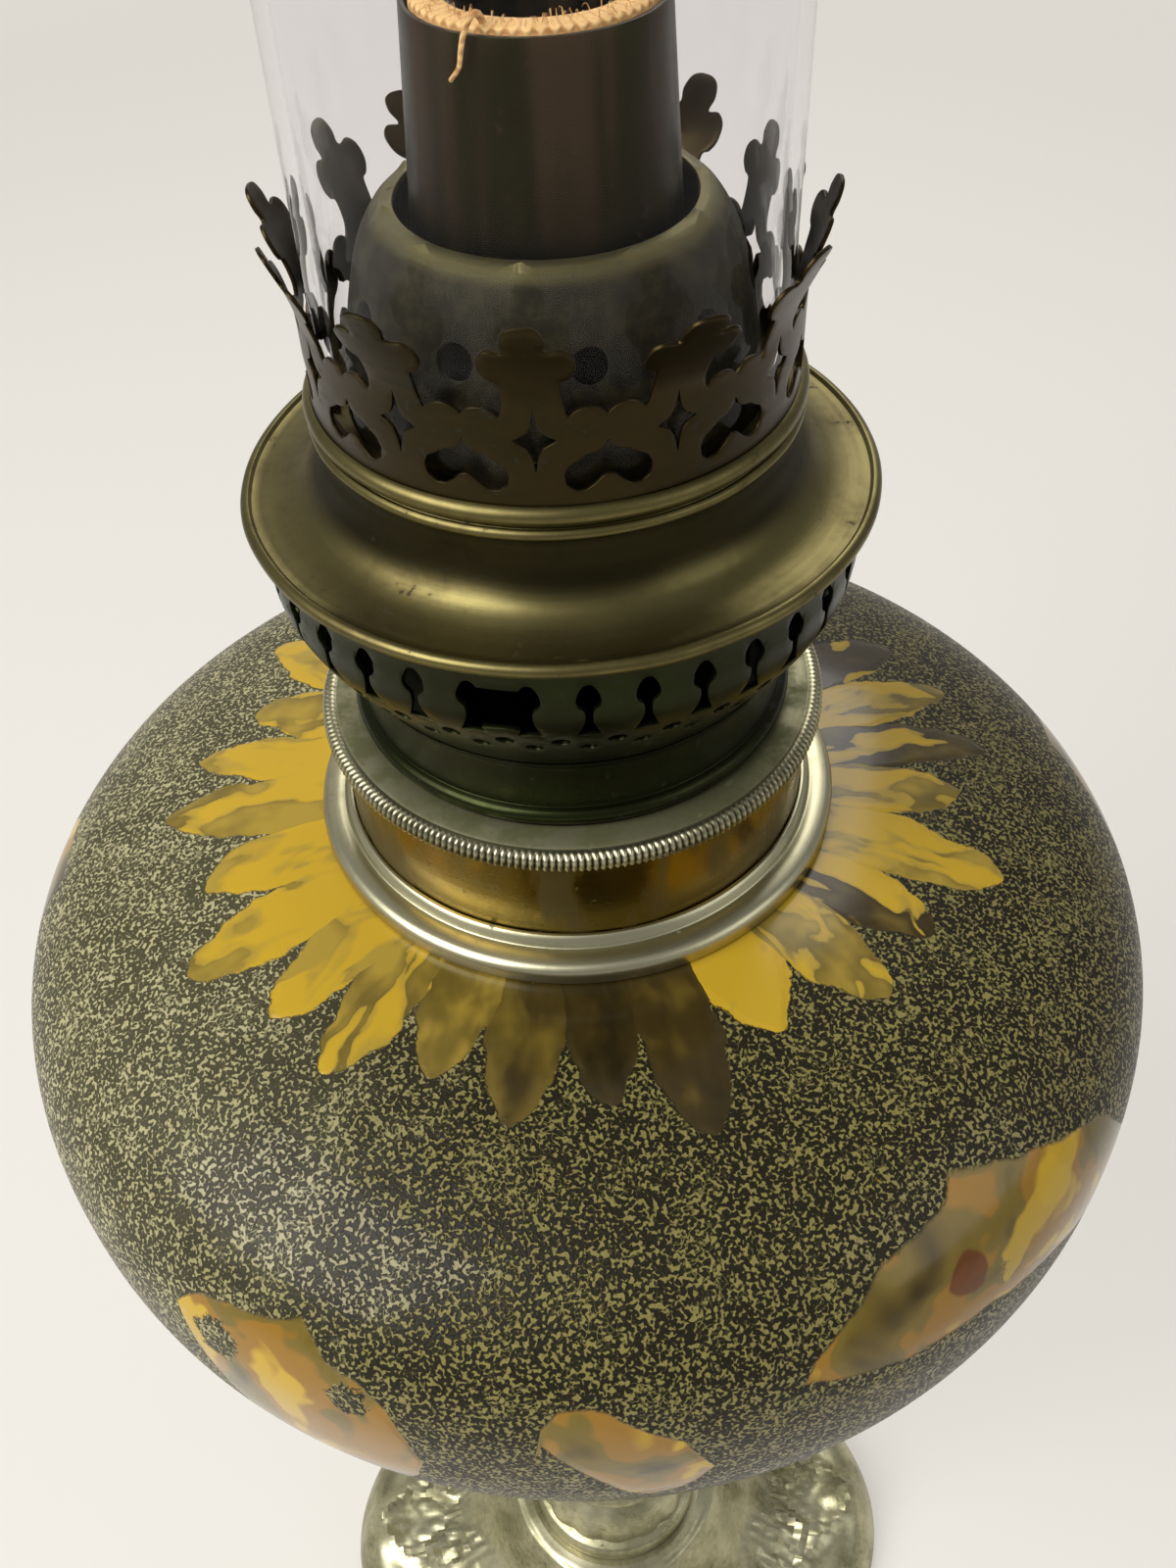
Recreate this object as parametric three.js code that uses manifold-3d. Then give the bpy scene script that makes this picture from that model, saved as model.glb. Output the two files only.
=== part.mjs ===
// A kerosene table lamp with a round-wick side-draught burner, in millimetres, with +Z up.
// The origin is the centre of the circle that the foot stands in, on the table.
// The front of the lamp faces -Y, and angles are measured from there towards +X.
import * as THREE from "three";
import { mergeVertices } from "three/addons/utils/BufferGeometryUtils.js";
import Module from "manifold-3d";

const wasm = await Module();
wasm.setup();

// Fits and cuts
const seatGap = 0.3;
const runningGap = 0.3;
const ledgeGap = 0.4;
const cutOverrun = 2;
const weldDistance = 1e-4;

// Facets round a full turn
const formFacets = 48;
const fontFacets = 28;
const wideFacets = 24;
const smallFacets = 12;

// Cast foot
const footHeight = 52;
const footRadius = 80;
const footLobeDepth = 5;
const footLobes = 4;
const footWall = 4;
const footPadWidth = 6;
const footScallop = 3;
const footSeatRadius = 26;
const footFlutes = 12;
const footFluteDepth = 1.6;
const footBossHeight = 4.5;
const footBossWidth = 8;
const footProfileShares = [
  [0.12, 0.88],
  [0.28, 0.6],
  [0.46, 0.41],
  [0.66, 0.34],
  [0.84, 0.32],
  [1, 0.06],
];
const footBossShare = 0.85;
const footFluteShare = 0.4;
const footFluteSpreadShare = 0.22;

// Stem, in two turned and fluted castings
const stemFlutes = 12;
const stemFluteDepth = 0.9;
const stemBore = 4.6;
const knopHeight = 80;
const knopRadius = 24.5;
const knopProfileShares = [
  [1, 0],
  [1, 0.05],
  [0.84, 0.09],
  [0.95, 0.17],
  [0.92, 0.26],
  [0.72, 0.36],
  [0.82, 0.41],
  [0.68, 0.46],
  [0.54, 0.8],
  [0.66, 0.88],
  [0.66, 1],
];
const knopFlutedShares = [0.12, 0.33];
const vaseHeight = 123;
const vaseRadius = 27;
const vaseProfileShares = [
  [0.58, 0],
  [0.58, 0.03],
  [0.46, 0.06],
  [0.74, 0.17],
  [0.96, 0.31],
  [0.93, 0.42],
  [0.7, 0.53],
  [0.49, 0.67],
  [0.43, 0.82],
  [0.6, 0.88],
  [0.48, 0.94],
  [0.55, 1],
];
const vaseFlutedShares = [0.1, 0.5];

// Dish under the font, and the tie rod through the stem
const socketFloor = 4;
const socketRise = 11;
const socketRimRadius = 34;
const socketWall = 1.6;
const plasterThickness = 1.8;
const rodRadius = 4;
const rodDrop = 13;
const washerRadius = 14;
const washerThickness = 2;
const nutAcrossCorners = 15;
const nutHeight = 6.5;

// Ceramic font
const fontRadius = 89;
const fontShoulderHeight = 96.5;
const fontBellyHeight = 60.7;
const fontFootRadius = 24;
const fontFootRise = 3.2;
const fontWall = 5;
const fontShoulderPower = 2.9;
const fontBellyPower = 2.05;
const fontNeckRadius = 28.7;
const fontNeckWall = 3.2;
const fontNeckHeight = 12.2;

// Collar: nickel ring, brass wall with bayonet ledges, and the knurled cap
const collarRingRadius = 38;
const collarRingHeight = 3.9;
const collarRingEdge = 1.9;
const collarWallRadius = 33;
const collarWallThickness = 1;
const collarWallHeight = 18.7;
const ledgeThickness = 1;
const ledgeCount = 3;
const ledgeGapDegrees = 27;
const lugDegrees = 21;
const lugRestDegrees = 25;
const lugThickness = 1.2;
const capRadius = 35;
const capEdge = 2.8;
const capSkirtRadius = 29.9;
const capSkirtWall = 1;
const capSkirtDrop = 7.4;
const capRecessRadius = 28.6;
const capRecessDepth = 1.2;
const capWeb = 1.2;
const seatWasherThickness = 0.9;

// Burner, measured from the plane of the gallery plate's edge
const cupBottomDepth = 33.8;
const cupRadius = 28.7;
const cupFlare = 0.8;
const cupWall = 0.8;
const cupHeight = 10.9;
const cupBeadRadius = 1.3;
const threadRadius = 24;
const threadWall = 1;
const threadLength = 6.5;
const basketTopRadius = 36.9;
const basketWall = 0.7;
const basketProfileShares = [
  [0, 0],
  [0.38, 0.17],
  [0.87, 0.47],
  [1.03, 0.65],
];
const keyholeCount = 35;
const keyholePhaseDegrees = 2.6;
const keyholeHeadWidth = 2.9;
const keyholeWaistWidth = 0.9;
const keyholeFootWidth = 2.8;
const keyholeHeadShare = 0.62;
const keyholeShoulderShare = 0.34;
const keyholeFootShare = 0.16;
const missingBarCell = 33;
const missingBarShares = [0.54, 0.52];

// Wick tubes and wick
const wickTubeTopHeight = 53.5;
const wickTubeTopRadius = 13.3;
const wickTubeRadius = 15.4;
const wickTubeTaperHeight = 31;
const wickTubeWall = 0.6;
const wickTubeDrop = 12;
const draughtRadius = 8.9;
const draughtWall = 0.6;
const draughtTopDrop = 0.5;
const draughtFloorDepth = 32.6;
const ductWidth = 14;
const ductHeight = 23;
const ductWall = 0.8;
const ductBottomDepth = 30;
const wickThickness = 3.1;
const wickFloorClearance = 17.5;
const wickProud = 0.5;
const wickSlotClearance = 5;

// Wick winder
const winderDepth = 26.4;
const wheelTipRadius = 5.2;
const wheelToothHeight = 1.1;
const wheelTeeth = 14;
const wheelThickness = 1.2;
const wheelSpacing = 6.4;
const shaftRadius = 1.3;
const shaftTail = 0.2;
const housingHalfWidth = 6.2;
const housingHalfHeight = 6.2;
const housingWall = 0.6;
const glandRadius = 2.6;
const glandReach = 27;
const glandNutCorners = 8.4;
const glandNutLength = 3.6;
const knobRadius = 9.5;
const knobThickness = 3.4;
const knobFlutes = 14;
const knobFluteDepth = 0.6;
const knobReach = 44;
const knobHubRadius = 3.2;
const knobHubLength = 2.4;

// Gallery plate
const plateRadius = 39;
const plateRollRadius = 0.9;
const plateRollFromDegrees = -150;
const plateThickness = 0.7;
const waistRadius = 28.3;
const flareHeight = 8;
const flareShares = [
  [0.8, 0],
  [0.45, 0.07],
  [0.25, 0.22],
  [0.1, 0.48],
  [0, 1],
];
const lineRingHeight = 10.3;
const lineRingRadius = 29.3;
const beadHeight = 12.5;
const beadOuterRadius = 29.4;
const beadRollRadius = 1.2;
const beadHalfDegrees = 60;
const seatHeight = 12.7;
const seatInnerRadius = 24.2;
const spigotDepth = 3.2;

// Chimney crown
const crownHeight = 22;
const crownWall = 0.5;
const crownBendHeight = 12.2;
const crownLean = 2.3;
const crownWallHeight = 10.9;
const scallopRise = 0.6;
const prongCount = 12;
const prongPhaseDegrees = -5;
const prongRootHalf = 3.4;
const prongBendHalf = 3;
const prongTopRadius = 1.9;
const prongSideRadius = 2.1;
const prongSideReach = 2.3;
const prongSideDrop = 4.3;
const prongSideDegrees = [-90, 110];
const starHeight = 8.3;
const starHalfHeight = 3.4;
const starHalfWidth = 2.2;
const starOutlineShares = [
  [0, 1],
  [0.36, 0.36],
  [1, 0],
  [0.36, -0.36],
  [0, -1],
];
const leafHeight = 5.1;
const leafHalfWidth = 4.2;
const leafHalfHeight = 2.9;
const leafOutlineShares = [
  [0, 1],
  [0.6, 0.25],
  [1, -0.6],
  [0.66, -1],
  [0, 0.15],
];

// Flame cone
const coneMouthHeight = 34.8;
const coneMouthRadius = 16.3;
const coneBaseRadius = 23.9;
const coneWall = 0.8;
const coneFlange = 1.5;
const coneProfileShares = [
  [0.97, 0.2],
  [0.86, 0.48],
  [0.6, 0.78],
  [0.33, 0.93],
  [0, 1],
];
const coneHoles = 10;
const coneHoleRadius = 2;
const coneHolePhaseDegrees = 9;

// Glass chimney
const glassRadius = 26.9;
const glassWall = 1.6;
const glassHeight = 250;
const glassTopRadius = 19;
const glassPinchRadius = 18.8;
const glassPinchHeight = 66;
const glassTubeRadius = 20;
const glassTubeHeight = 78;
const glassShoulderShares = [
  [1, 0],
  [1, 0.8],
  [0.5, 0.94],
];

// Heights of the stack, each piece resting on the one below
const knopBottom = footHeight + seatGap;
const vaseBottom = knopBottom + knopHeight + seatGap;
const socketBottom = vaseBottom + vaseHeight + seatGap;
const plasterBottom = socketBottom + socketFloor + seatGap;
const fontBottom = plasterBottom + plasterThickness + seatGap;
const fontFloor = fontBottom + fontFootRise + fontWall;
const fontShoulder = fontBottom + fontShoulderHeight;
const collarBottom = fontShoulder + seatGap;
const capFace = collarBottom + collarWallHeight + seatGap + capEdge;
const burnerPlane = capFace + seatGap + cupBottomDepth;

// Radii and heights that follow from the sizes above
const crownInnerRadius = circumscribed(glassRadius + runningGap, wideFacets);
const crownOuterRadius = circumscribed(glassRadius + runningGap + crownWall, wideFacets);
const crownRoom = circumscribed(crownOuterRadius + runningGap, wideFacets);
const winderX = wickTubeTopRadius - wickTubeWall - runningGap + seatGap + wheelTipRadius;
const wickOuterRadius = wickTubeTopRadius - wickTubeWall - runningGap;
const cupTopDepth = cupBottomDepth - cupHeight;
const basketBottomDepth = cupTopDepth - seatGap;
const draughtBore = draughtRadius - draughtWall;

// The flat polygon of a list of [x, y] pairs.
function outline(points) {
  return new THREE.Shape(points.map(([x, y]) => new THREE.Vector2(x, y)));
}

// A profile of [radius, height] pairs turned about the Z axis, and closed here if it isn't on the axis.
function turned(profile, facetCount) {
  const points = profile.map(([r, z]) => new THREE.Vector2(r, z));
  if (profile[0][0] > 0) {
    points.push(points[0].clone());
  }
  if (THREE.ShapeUtils.isClockWise(points)) {
    points.reverse();
  }
  return new THREE.LatheGeometry(points, facetCount).rotateX(Math.PI / 2);
}

// A ring whose closed section changes with the angle: sectionAt gives it as [radius, height] pairs.
function turnedForm(sectionAt, facetCount) {
  const positions = [];
  let rings = 0;
  for (let j = 0; j < facetCount; j += 1) {
    const angle = (2 * Math.PI * j) / facetCount;
    const section = sectionAt(angle);
    rings = section.length;
    for (const [r, z] of section) {
      positions.push(r * Math.sin(angle), -r * Math.cos(angle), z);
    }
  }
  const index = [];
  for (let j = 0; j < facetCount; j += 1) {
    const next = ((j + 1) % facetCount) * rings;
    const here = j * rings;
    for (let i = 0; i < rings; i += 1) {
      const above = (i + 1) % rings;
      index.push(here + i, next + i, next + above);
      index.push(here + i, next + above, here + above);
    }
  }
  const geometry = new THREE.BufferGeometry();
  geometry.setAttribute("position", new THREE.Float32BufferAttribute(positions, 3));
  geometry.setIndex(index);
  return geometry;
}

// The radius that the flats of a faceted ring reach, and the radius that puts its flats at a given one.
function inscribed(radius, facetCount) {
  return radius * Math.cos(Math.PI / facetCount);
}
function circumscribed(radius, facetCount) {
  return radius / Math.cos(Math.PI / facetCount);
}

// A closed geometry as a solid that can be joined and cut.
function solidOf(geometry) {
  const bare = new THREE.BufferGeometry();
  bare.setAttribute("position", geometry.getAttribute("position"));
  bare.setIndex(geometry.index);
  const welded = mergeVertices(bare, weldDistance);
  const corners = welded.index.array;
  const triVerts = [];
  for (let i = 0; i < corners.length; i += 3) {
    const [a, b, c] = corners.slice(i, i + 3);
    if (a !== b && b !== c && c !== a) {
      triVerts.push(a, b, c);
    }
  }
  const mesh = new wasm.Mesh({
    numProp: 3,
    vertProperties: new Float32Array(welded.getAttribute("position").array),
    triVerts: new Uint32Array(triVerts),
  });
  return new wasm.Manifold(mesh);
}

// The geometry of a solid.
function geometryOf(solid) {
  const mesh = solid.getMesh();
  const geometry = new THREE.BufferGeometry();
  geometry.setAttribute("position", new THREE.BufferAttribute(mesh.vertProperties, 3));
  geometry.setIndex(new THREE.BufferAttribute(mesh.triVerts, 1));
  return geometry;
}

// One solid with every geometry in the list cut out of it, or joined to it.
function cut(solid, geometries) {
  return geometries.reduce((left, g) => left.subtract(solidOf(g)), solid);
}
function joined(solid, geometries) {
  return geometries.reduce((left, g) => left.add(solidOf(g)), solid);
}

// The other side of a sheet whose outer side is the given rows of [radius, height].
function sheetInside(rows, thickness) {
  const normals = rows.slice(1).map(([r, z], i) => {
    const length = Math.hypot(r - rows[i][0], z - rows[i][1]);
    return [(z - rows[i][1]) / length, (rows[i][0] - r) / length];
  });
  return rows.map(([r, z], i) => {
    const [ar, az] = normals[Math.max(0, i - 1)];
    const [br, bz] = normals[Math.min(normals.length - 1, i)];
    const reach = thickness / (1 + ar * br + az * bz);
    return [r - reach * (ar + br), z - reach * (az + bz)];
  });
}

// A point between two rows: row 1.5 is half way from row 1 to row 2.
function alongRows(rows, row) {
  const below = Math.min(Math.floor(row), rows.length - 2);
  return [0, 1].map((k) => rows[below][k] + (row - below) * (rows[below + 1][k] - rows[below][k]));
}

// A pierced sheet of equal cells round the Z axis. Half a cell is a list of flat outlines of [x, row]:
// x counts from the cell's middle line, or backwards from its edge if negative, and toEdge is the edge.
// The halves are mirrored and repeated, and the free edges join the outer side to the inner one.
const toEdge = Infinity;
function piercedSheet(cellCount, phaseDegrees, outerRows, thickness, outlinesAt) {
  const innerRows = sheetInside(outerRows, thickness);
  const facet = Math.PI / cellCount;
  const positions = [];
  const known = new Map();
  const corner = (rows, row, share, middle, edge) => {
    const [r, z] = alongRows(rows, row);
    const across = (1 - share) * Math.sin(middle) + share * Math.sin(edge);
    const along = (1 - share) * Math.cos(middle) + share * Math.cos(edge);
    const point = [r * across, -r * along, z];
    const key = point.map((value) => Math.round(value / weldDistance)).join();
    if (!known.has(key)) {
      known.set(key, positions.length / 3);
      positions.push(...point);
    }
    return known.get(key);
  };
  const index = [];
  const partner = [];
  const edges = new Map();
  for (let half = 0; half < 2 * cellCount; half += 1) {
    const side = half % 2 === 0 ? 1 : -1;
    const cell = Math.ceil(half / 2) % cellCount;
    const middle = THREE.MathUtils.degToRad(phaseDegrees) + 2 * cell * facet;
    for (const points of outlinesAt(cell, side)) {
      const flat = points.map(([x, row]) => {
        const shareOfChord = x / (2 * alongRows(outerRows, row)[0] * Math.sin(facet / 2));
        return new THREE.Vector2(shareOfChord < 0 ? 1 + shareOfChord : Math.min(1, shareOfChord), row);
      });
      const corners = flat.map(({ x: share, y: row }) => {
        const outside = corner(outerRows, row, share, middle, middle + side * facet);
        partner[outside] = corner(innerRows, row, share, middle, middle + side * facet);
        return outside;
      });
      for (const face of THREE.ShapeUtils.triangulateShape(flat, [])) {
        const [a, b, c] = (side > 0 ? face : face.reverse()).map((i) => corners[i]);
        index.push(a, b, c, partner[a], partner[c], partner[b]);
        [[a, b], [b, c], [c, a]].forEach((edge) => edges.set(edge.join(), edge));
      }
    }
  }
  for (const [from, to] of edges.values()) {
    if (!edges.has([to, from].join())) {
      index.push(to, from, partner[from], to, partner[from], partner[to]);
    }
  }
  const geometry = new THREE.BufferGeometry();
  geometry.setAttribute("position", new THREE.Float32BufferAttribute(positions, 3));
  geometry.setIndex(index);
  return geometry;
}

// The whole band of a half cell above a row.
function plainBand(row) {
  return [
    [0, row],
    [toEdge, row],
    [toEdge, row + 1],
    [0, row + 1],
  ];
}

// A flat outline pushed outwards from the Z axis, its own up along +Z.
function radialPrism(shape, fromRadius, toRadius, height, degrees, curveSegments = 6) {
  const depth = toRadius - fromRadius;
  const prism = new THREE.ExtrudeGeometry(shape, { depth, bevelEnabled: false, curveSegments });
  const angle = THREE.MathUtils.degToRad(degrees);
  const outward = new THREE.Vector3(Math.sin(angle), -Math.cos(angle), 0);
  const sideways = new THREE.Vector3(Math.cos(angle), Math.sin(angle), 0);
  const up = new THREE.Vector3(0, 0, 1);
  const basis = new THREE.Matrix4().makeBasis(sideways, up, outward);
  const place = outward.multiplyScalar(fromRadius);
  basis.setPosition(place.x, place.y, height);
  return indexed(prism.applyMatrix4(basis));
}

// Extrusions have no index, and solids need one.
function indexed(geometry) {
  const bare = new THREE.BufferGeometry();
  bare.setAttribute("position", geometry.getAttribute("position"));
  return geometry.index ? geometry : mergeVertices(bare, weldDistance);
}

// A block between two radii and two angles.
function arcBlock(innerRadius, outerRadius, height, thickness, midDegrees, spanDegrees) {
  const middle = THREE.MathUtils.degToRad(midDegrees - 90);
  const half = THREE.MathUtils.degToRad(spanDegrees / 2);
  const sector = new THREE.Shape();
  sector.absarc(0, 0, outerRadius, middle - half, middle + half, false);
  sector.absarc(0, 0, innerRadius, middle + half, middle - half, true);
  const curveSegments = Math.max(2, Math.round((spanDegrees * wideFacets) / 360));
  const options = { depth: thickness, bevelEnabled: false, curveSegments };
  return indexed(new THREE.ExtrudeGeometry(sector, options).translate(0, 0, height));
}

// A cylinder along Z or along Y, from one end to the other.
function cylinderZ(radius, low, high, facetCount) {
  const round = new THREE.CylinderGeometry(radius, radius, high - low, facetCount);
  return round.rotateX(Math.PI / 2).translate(0, 0, (low + high) / 2);
}
function cylinderY(radius, near, far, facetCount) {
  const round = new THREE.CylinderGeometry(radius, radius, far - near, facetCount);
  return round.translate(0, (near + far) / 2, 0);
}

// A box between two corners.
function boxBetween([x0, y0, z0], [x1, y1, z1]) {
  const box = new THREE.BoxGeometry(x1 - x0, y1 - y0, z1 - z0);
  return box.translate((x0 + x1) / 2, (y0 + y1) / 2, (z0 + z1) / 2);
}

// A flat outline, with an optional round hole, pushed along +Y from its near end.
function prismY(shape, holeRadius, near, length, curveSegments) {
  if (holeRadius > 0) {
    shape.holes.push(new THREE.Path().absarc(0, 0, holeRadius, 0, 2 * Math.PI, true));
  }
  const options = { depth: length, bevelEnabled: false, curveSegments };
  const prism = new THREE.ExtrudeGeometry(shape, options).rotateX(Math.PI / 2);
  return prism.translate(0, near + length, 0);
}

// A regular outline of corners or teeth: radiusAt gives the radius at each of its points.
function roundOutline(pointCount, radiusAt) {
  const points = [];
  for (let i = 0; i < pointCount; i += 1) {
    const angle = (2 * Math.PI * i) / pointCount;
    points.push([radiusAt(i) * Math.cos(angle), radiusAt(i) * Math.sin(angle)]);
  }
  return outline(points);
}

// A bell curve of height 1 at the middle.
function bell(distance, width) {
  return Math.exp(-((distance / width) ** 2));
}

// Cast foot: an ogee dome with four lobes, flutes round its upper part and a scroll boss on each lobe.
function footGeometry() {
  const sectionAt = (angle) => {
    const lobe = Math.cos(footLobes * angle);
    const rim = footRadius + footLobeDepth * lobe;
    const reach = rim - footSeatRadius;
    const lift = footScallop * Math.max(0, -lobe);
    const turn = Math.asin(Math.sin((footLobes * angle) / 2)) * (2 / footLobes);
    const relief = (share) => {
      const fromBoss = Math.hypot(turn * rim, (share - footBossShare) * reach);
      const flute = Math.cos(footFlutes * angle) * bell(share - footFluteShare, footFluteSpreadShare);
      return footBossHeight * bell(fromBoss, footBossWidth) + footFluteDepth * flute;
    };
    const top = footProfileShares.map(([share, heightShare]) => [
      footSeatRadius + share * reach,
      heightShare * footHeight + relief(share) * Math.min(1, (1 - share) / (1 - footBossShare)),
    ]);
    top[top.length - 1][1] += lift;
    const under = footProfileShares
      .filter((pair, i) => i % 2 === 0 && i > 0 && pair[0] < footBossShare)
      .map(([share, heightShare]) => [
        footSeatRadius + share * (reach - footPadWidth),
        heightShare * footHeight - footWall,
      ])
      .reverse();
    return [
      [stemBore, footHeight],
      [footSeatRadius, footHeight],
      ...top,
      [rim - footWall / 4, lift],
      [rim - footPadWidth, lift],
      ...under,
      [footSeatRadius - footWall, footHeight - 2 * footWall],
      [stemBore, footHeight - 2 * footWall],
    ].reverse();
  };
  return turnedForm(sectionAt, formFacets);
}

// A stem casting: a turned profile with a bore, and flutes between two heights.
function stemGeometry(height, radius, profileShares, flutedShares) {
  const middle = (flutedShares[0] + flutedShares[1]) / 2;
  const spread = (flutedShares[1] - flutedShares[0]) / 2;
  const sectionAt = (angle) => {
    const outer = profileShares.map(([radiusShare, heightShare]) => {
      const within = Math.abs(heightShare - middle) < spread ? 1 : 0;
      const flute = within * stemFluteDepth * Math.cos(stemFlutes * angle);
      return [radiusShare * radius + flute, heightShare * height];
    });
    return [[stemBore, 0], ...outer, [stemBore, height]];
  };
  return turnedForm(sectionAt, wideFacets);
}

// The font's outer surface, a fuller curve above the belly than below it.
function fontCurve(radius, rise, power, steps, fromRadius) {
  const fullRise = rise / (1 - (fromRadius / radius) ** power) ** (1 / power);
  const endAngle = Math.acos((fromRadius / radius) ** (power / 2));
  const points = [];
  for (let i = 0; i <= steps; i += 1) {
    const angle = (endAngle * i) / steps;
    const r = radius * Math.cos(angle) ** (2 / power);
    const z = fullRise * Math.sin(angle) ** (2 / power);
    points.push([r, z]);
  }
  return points;
}

function fontGeometry() {
  const upperRise = fontShoulderHeight - fontBellyHeight;
  const shoulderRadius = collarRingRadius;
  const belowRise = fontBellyHeight - fontFootRise;
  const upper = fontCurve(fontRadius, upperRise, fontShoulderPower, 5, shoulderRadius);
  const lower = fontCurve(fontRadius, belowRise, fontBellyPower, 5, fontFootRadius);
  const innerRadius = fontRadius - fontWall;
  const neckBore = fontNeckRadius - fontNeckWall;
  const innerUpper = fontCurve(innerRadius, upperRise - fontWall, fontShoulderPower, 3, neckBore);
  const innerLower = fontCurve(innerRadius, belowRise - fontWall, fontBellyPower, 3, fontFootRadius);
  const floorHeight = fontBellyHeight - innerLower[innerLower.length - 1][1];
  return turned(
    [
      [0, 0],
      [fontFootRadius, 0],
      ...lower.reverse().map(([r, z]) => [r, fontBellyHeight - z]),
      ...upper.slice(1).map(([r, z]) => [r, fontBellyHeight + z]),
      [fontNeckRadius, fontShoulderHeight],
      [fontNeckRadius, fontShoulderHeight + fontNeckHeight],
      [neckBore, fontShoulderHeight + fontNeckHeight],
      ...innerUpper.reverse().map(([r, z]) => [r, fontBellyHeight + z]),
      ...innerLower.slice(1).map(([r, z]) => [r, fontBellyHeight - z]),
      [0, floorHeight],
    ],
    fontFacets,
  );
}

function socketGeometry() {
  const floorRadius = fontFootRadius + runningGap;
  const neckRadius = vaseRadius * vaseProfileShares[vaseProfileShares.length - 1][0];
  const clear = fontFootRise - seatGap - socketWall / 4;
  const rim = socketFloor + plasterThickness + 2 * seatGap + clear;
  return turned(
    [
      [rodRadius + runningGap, 0],
      [neckRadius, 0],
      [neckRadius, socketFloor / 4],
      [(neckRadius + floorRadius) / 2, socketFloor / 2],
      [floorRadius + socketWall, socketFloor],
      [socketRimRadius, rim - socketWall / 2],
      [socketRimRadius, rim],
      [floorRadius + socketWall, rim - socketWall / 2],
      [floorRadius, socketFloor + plasterThickness],
      [floorRadius, socketFloor],
      [rodRadius + runningGap, socketFloor],
    ],
    wideFacets,
  );
}

// Nickel ring at the foot of the collar, with a rolled upper edge.
function collarRingGeometry() {
  const inner = collarWallRadius + runningGap;
  const roll = collarRingHeight - collarRingEdge;
  const edge = [];
  for (const share of [0, 0.5, 1]) {
    const angle = (share * Math.PI) / 2;
    edge.push([collarRingRadius - roll * (1 - Math.cos(angle)), collarRingEdge + roll * Math.sin(angle)]);
  }
  const crown = (inner + collarRingRadius - roll) / 2;
  return turned(
    [
      [inner, 0],
      [collarRingRadius, 0],
      ...edge,
      [crown, collarRingHeight - roll / 4],
      [inner, collarRingHeight],
    ],
    wideFacets,
  );
}

function collarWallGeometry() {
  const inner = collarWallRadius - collarWallThickness;
  const wall = solidOf(
    turned(
      [
        [inner, 0],
        [collarWallRadius, 0],
        [collarWallRadius, collarWallHeight],
        [inner, collarWallHeight],
      ],
      wideFacets,
    ),
  );
  const pitch = 360 / ledgeCount;
  const ledges = [];
  for (let i = 0; i < ledgeCount; i += 1) {
    const low = collarWallHeight - ledgeThickness;
    const middle = (i + 0.5) * pitch;
    const span = pitch - ledgeGapDegrees;
    const root = inner + collarWallThickness / 2;
    ledges.push(arcBlock(capSkirtRadius + ledgeGap, root, low, ledgeThickness, middle, span));
  }
  return geometryOf(joined(wall, ledges));
}

// Knurled cap: a flat annulus with a recess for the washer, the thread's tube, and a skirt with lugs.
function bayonetCapGeometry() {
  const bore = threadRadius + ledgeGap;
  const recess = -capRecessDepth;
  const web = recess - capWeb;
  const tubeBottom = -(capRecessDepth + threadLength);
  const skirtInner = capSkirtRadius - capSkirtWall;
  const body = solidOf(
    turned(
      [
        [bore, recess],
        [bore, tubeBottom],
        [bore + capSkirtWall, tubeBottom],
        [bore + capSkirtWall, web],
        [skirtInner, web],
        [skirtInner, -capSkirtDrop],
        [capSkirtRadius, -capSkirtDrop],
        [capSkirtRadius, -capEdge],
        [capRadius, -capEdge],
        [capRadius, 0],
        [capRecessRadius, 0],
        [capRecessRadius, recess],
      ],
      wideFacets,
    ),
  );
  const lugReach = collarWallRadius - collarWallThickness - ledgeGap;
  const lugTop = -(capEdge + seatGap + ledgeThickness + seatGap);
  const lugs = [];
  for (let i = 0; i < ledgeCount; i += 1) {
    const middle = (i * 360) / ledgeCount - lugRestDegrees;
    const root = capSkirtRadius - capSkirtWall / 2;
    lugs.push(arcBlock(root, lugReach, lugTop - lugThickness, lugThickness, middle, lugDegrees));
  }
  return geometryOf(joined(body, lugs));
}

function burnerCupGeometry() {
  const bottom = -cupBottomDepth;
  const floor = bottom + cupWall;
  const wallFoot = bottom + 2 * cupBeadRadius;
  const top = bottom + cupHeight;
  const tubeHole = wickTubeRadius + runningGap;
  const threadInner = threadRadius - threadWall;
  const beadRadius = cupRadius + cupBeadRadius;
  const body = solidOf(
    turned(
      [
        [tubeHole, bottom],
        [threadInner, bottom],
        [threadInner, bottom - threadLength],
        [threadRadius, bottom - threadLength],
        [threadRadius, bottom],
        [cupRadius, bottom],
        [beadRadius, bottom + cupBeadRadius / 2],
        [beadRadius, wallFoot - cupBeadRadius / 2],
        [cupRadius, wallFoot],
        [cupRadius, top - cupBeadRadius],
        [cupRadius + cupFlare, top],
        [cupRadius + cupFlare - cupWall, top],
        [cupRadius - cupWall, wallFoot],
        [cupRadius - cupWall, floor],
        [tubeHole, floor],
      ],
      wideFacets,
    ),
  );
  const glandHole = cylinderY(glandRadius + runningGap, glandReach / 2, glandReach + cutOverrun, smallFacets);
  return geometryOf(cut(body, [glandHole.translate(winderX, 0, -winderDepth)]));
}

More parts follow.
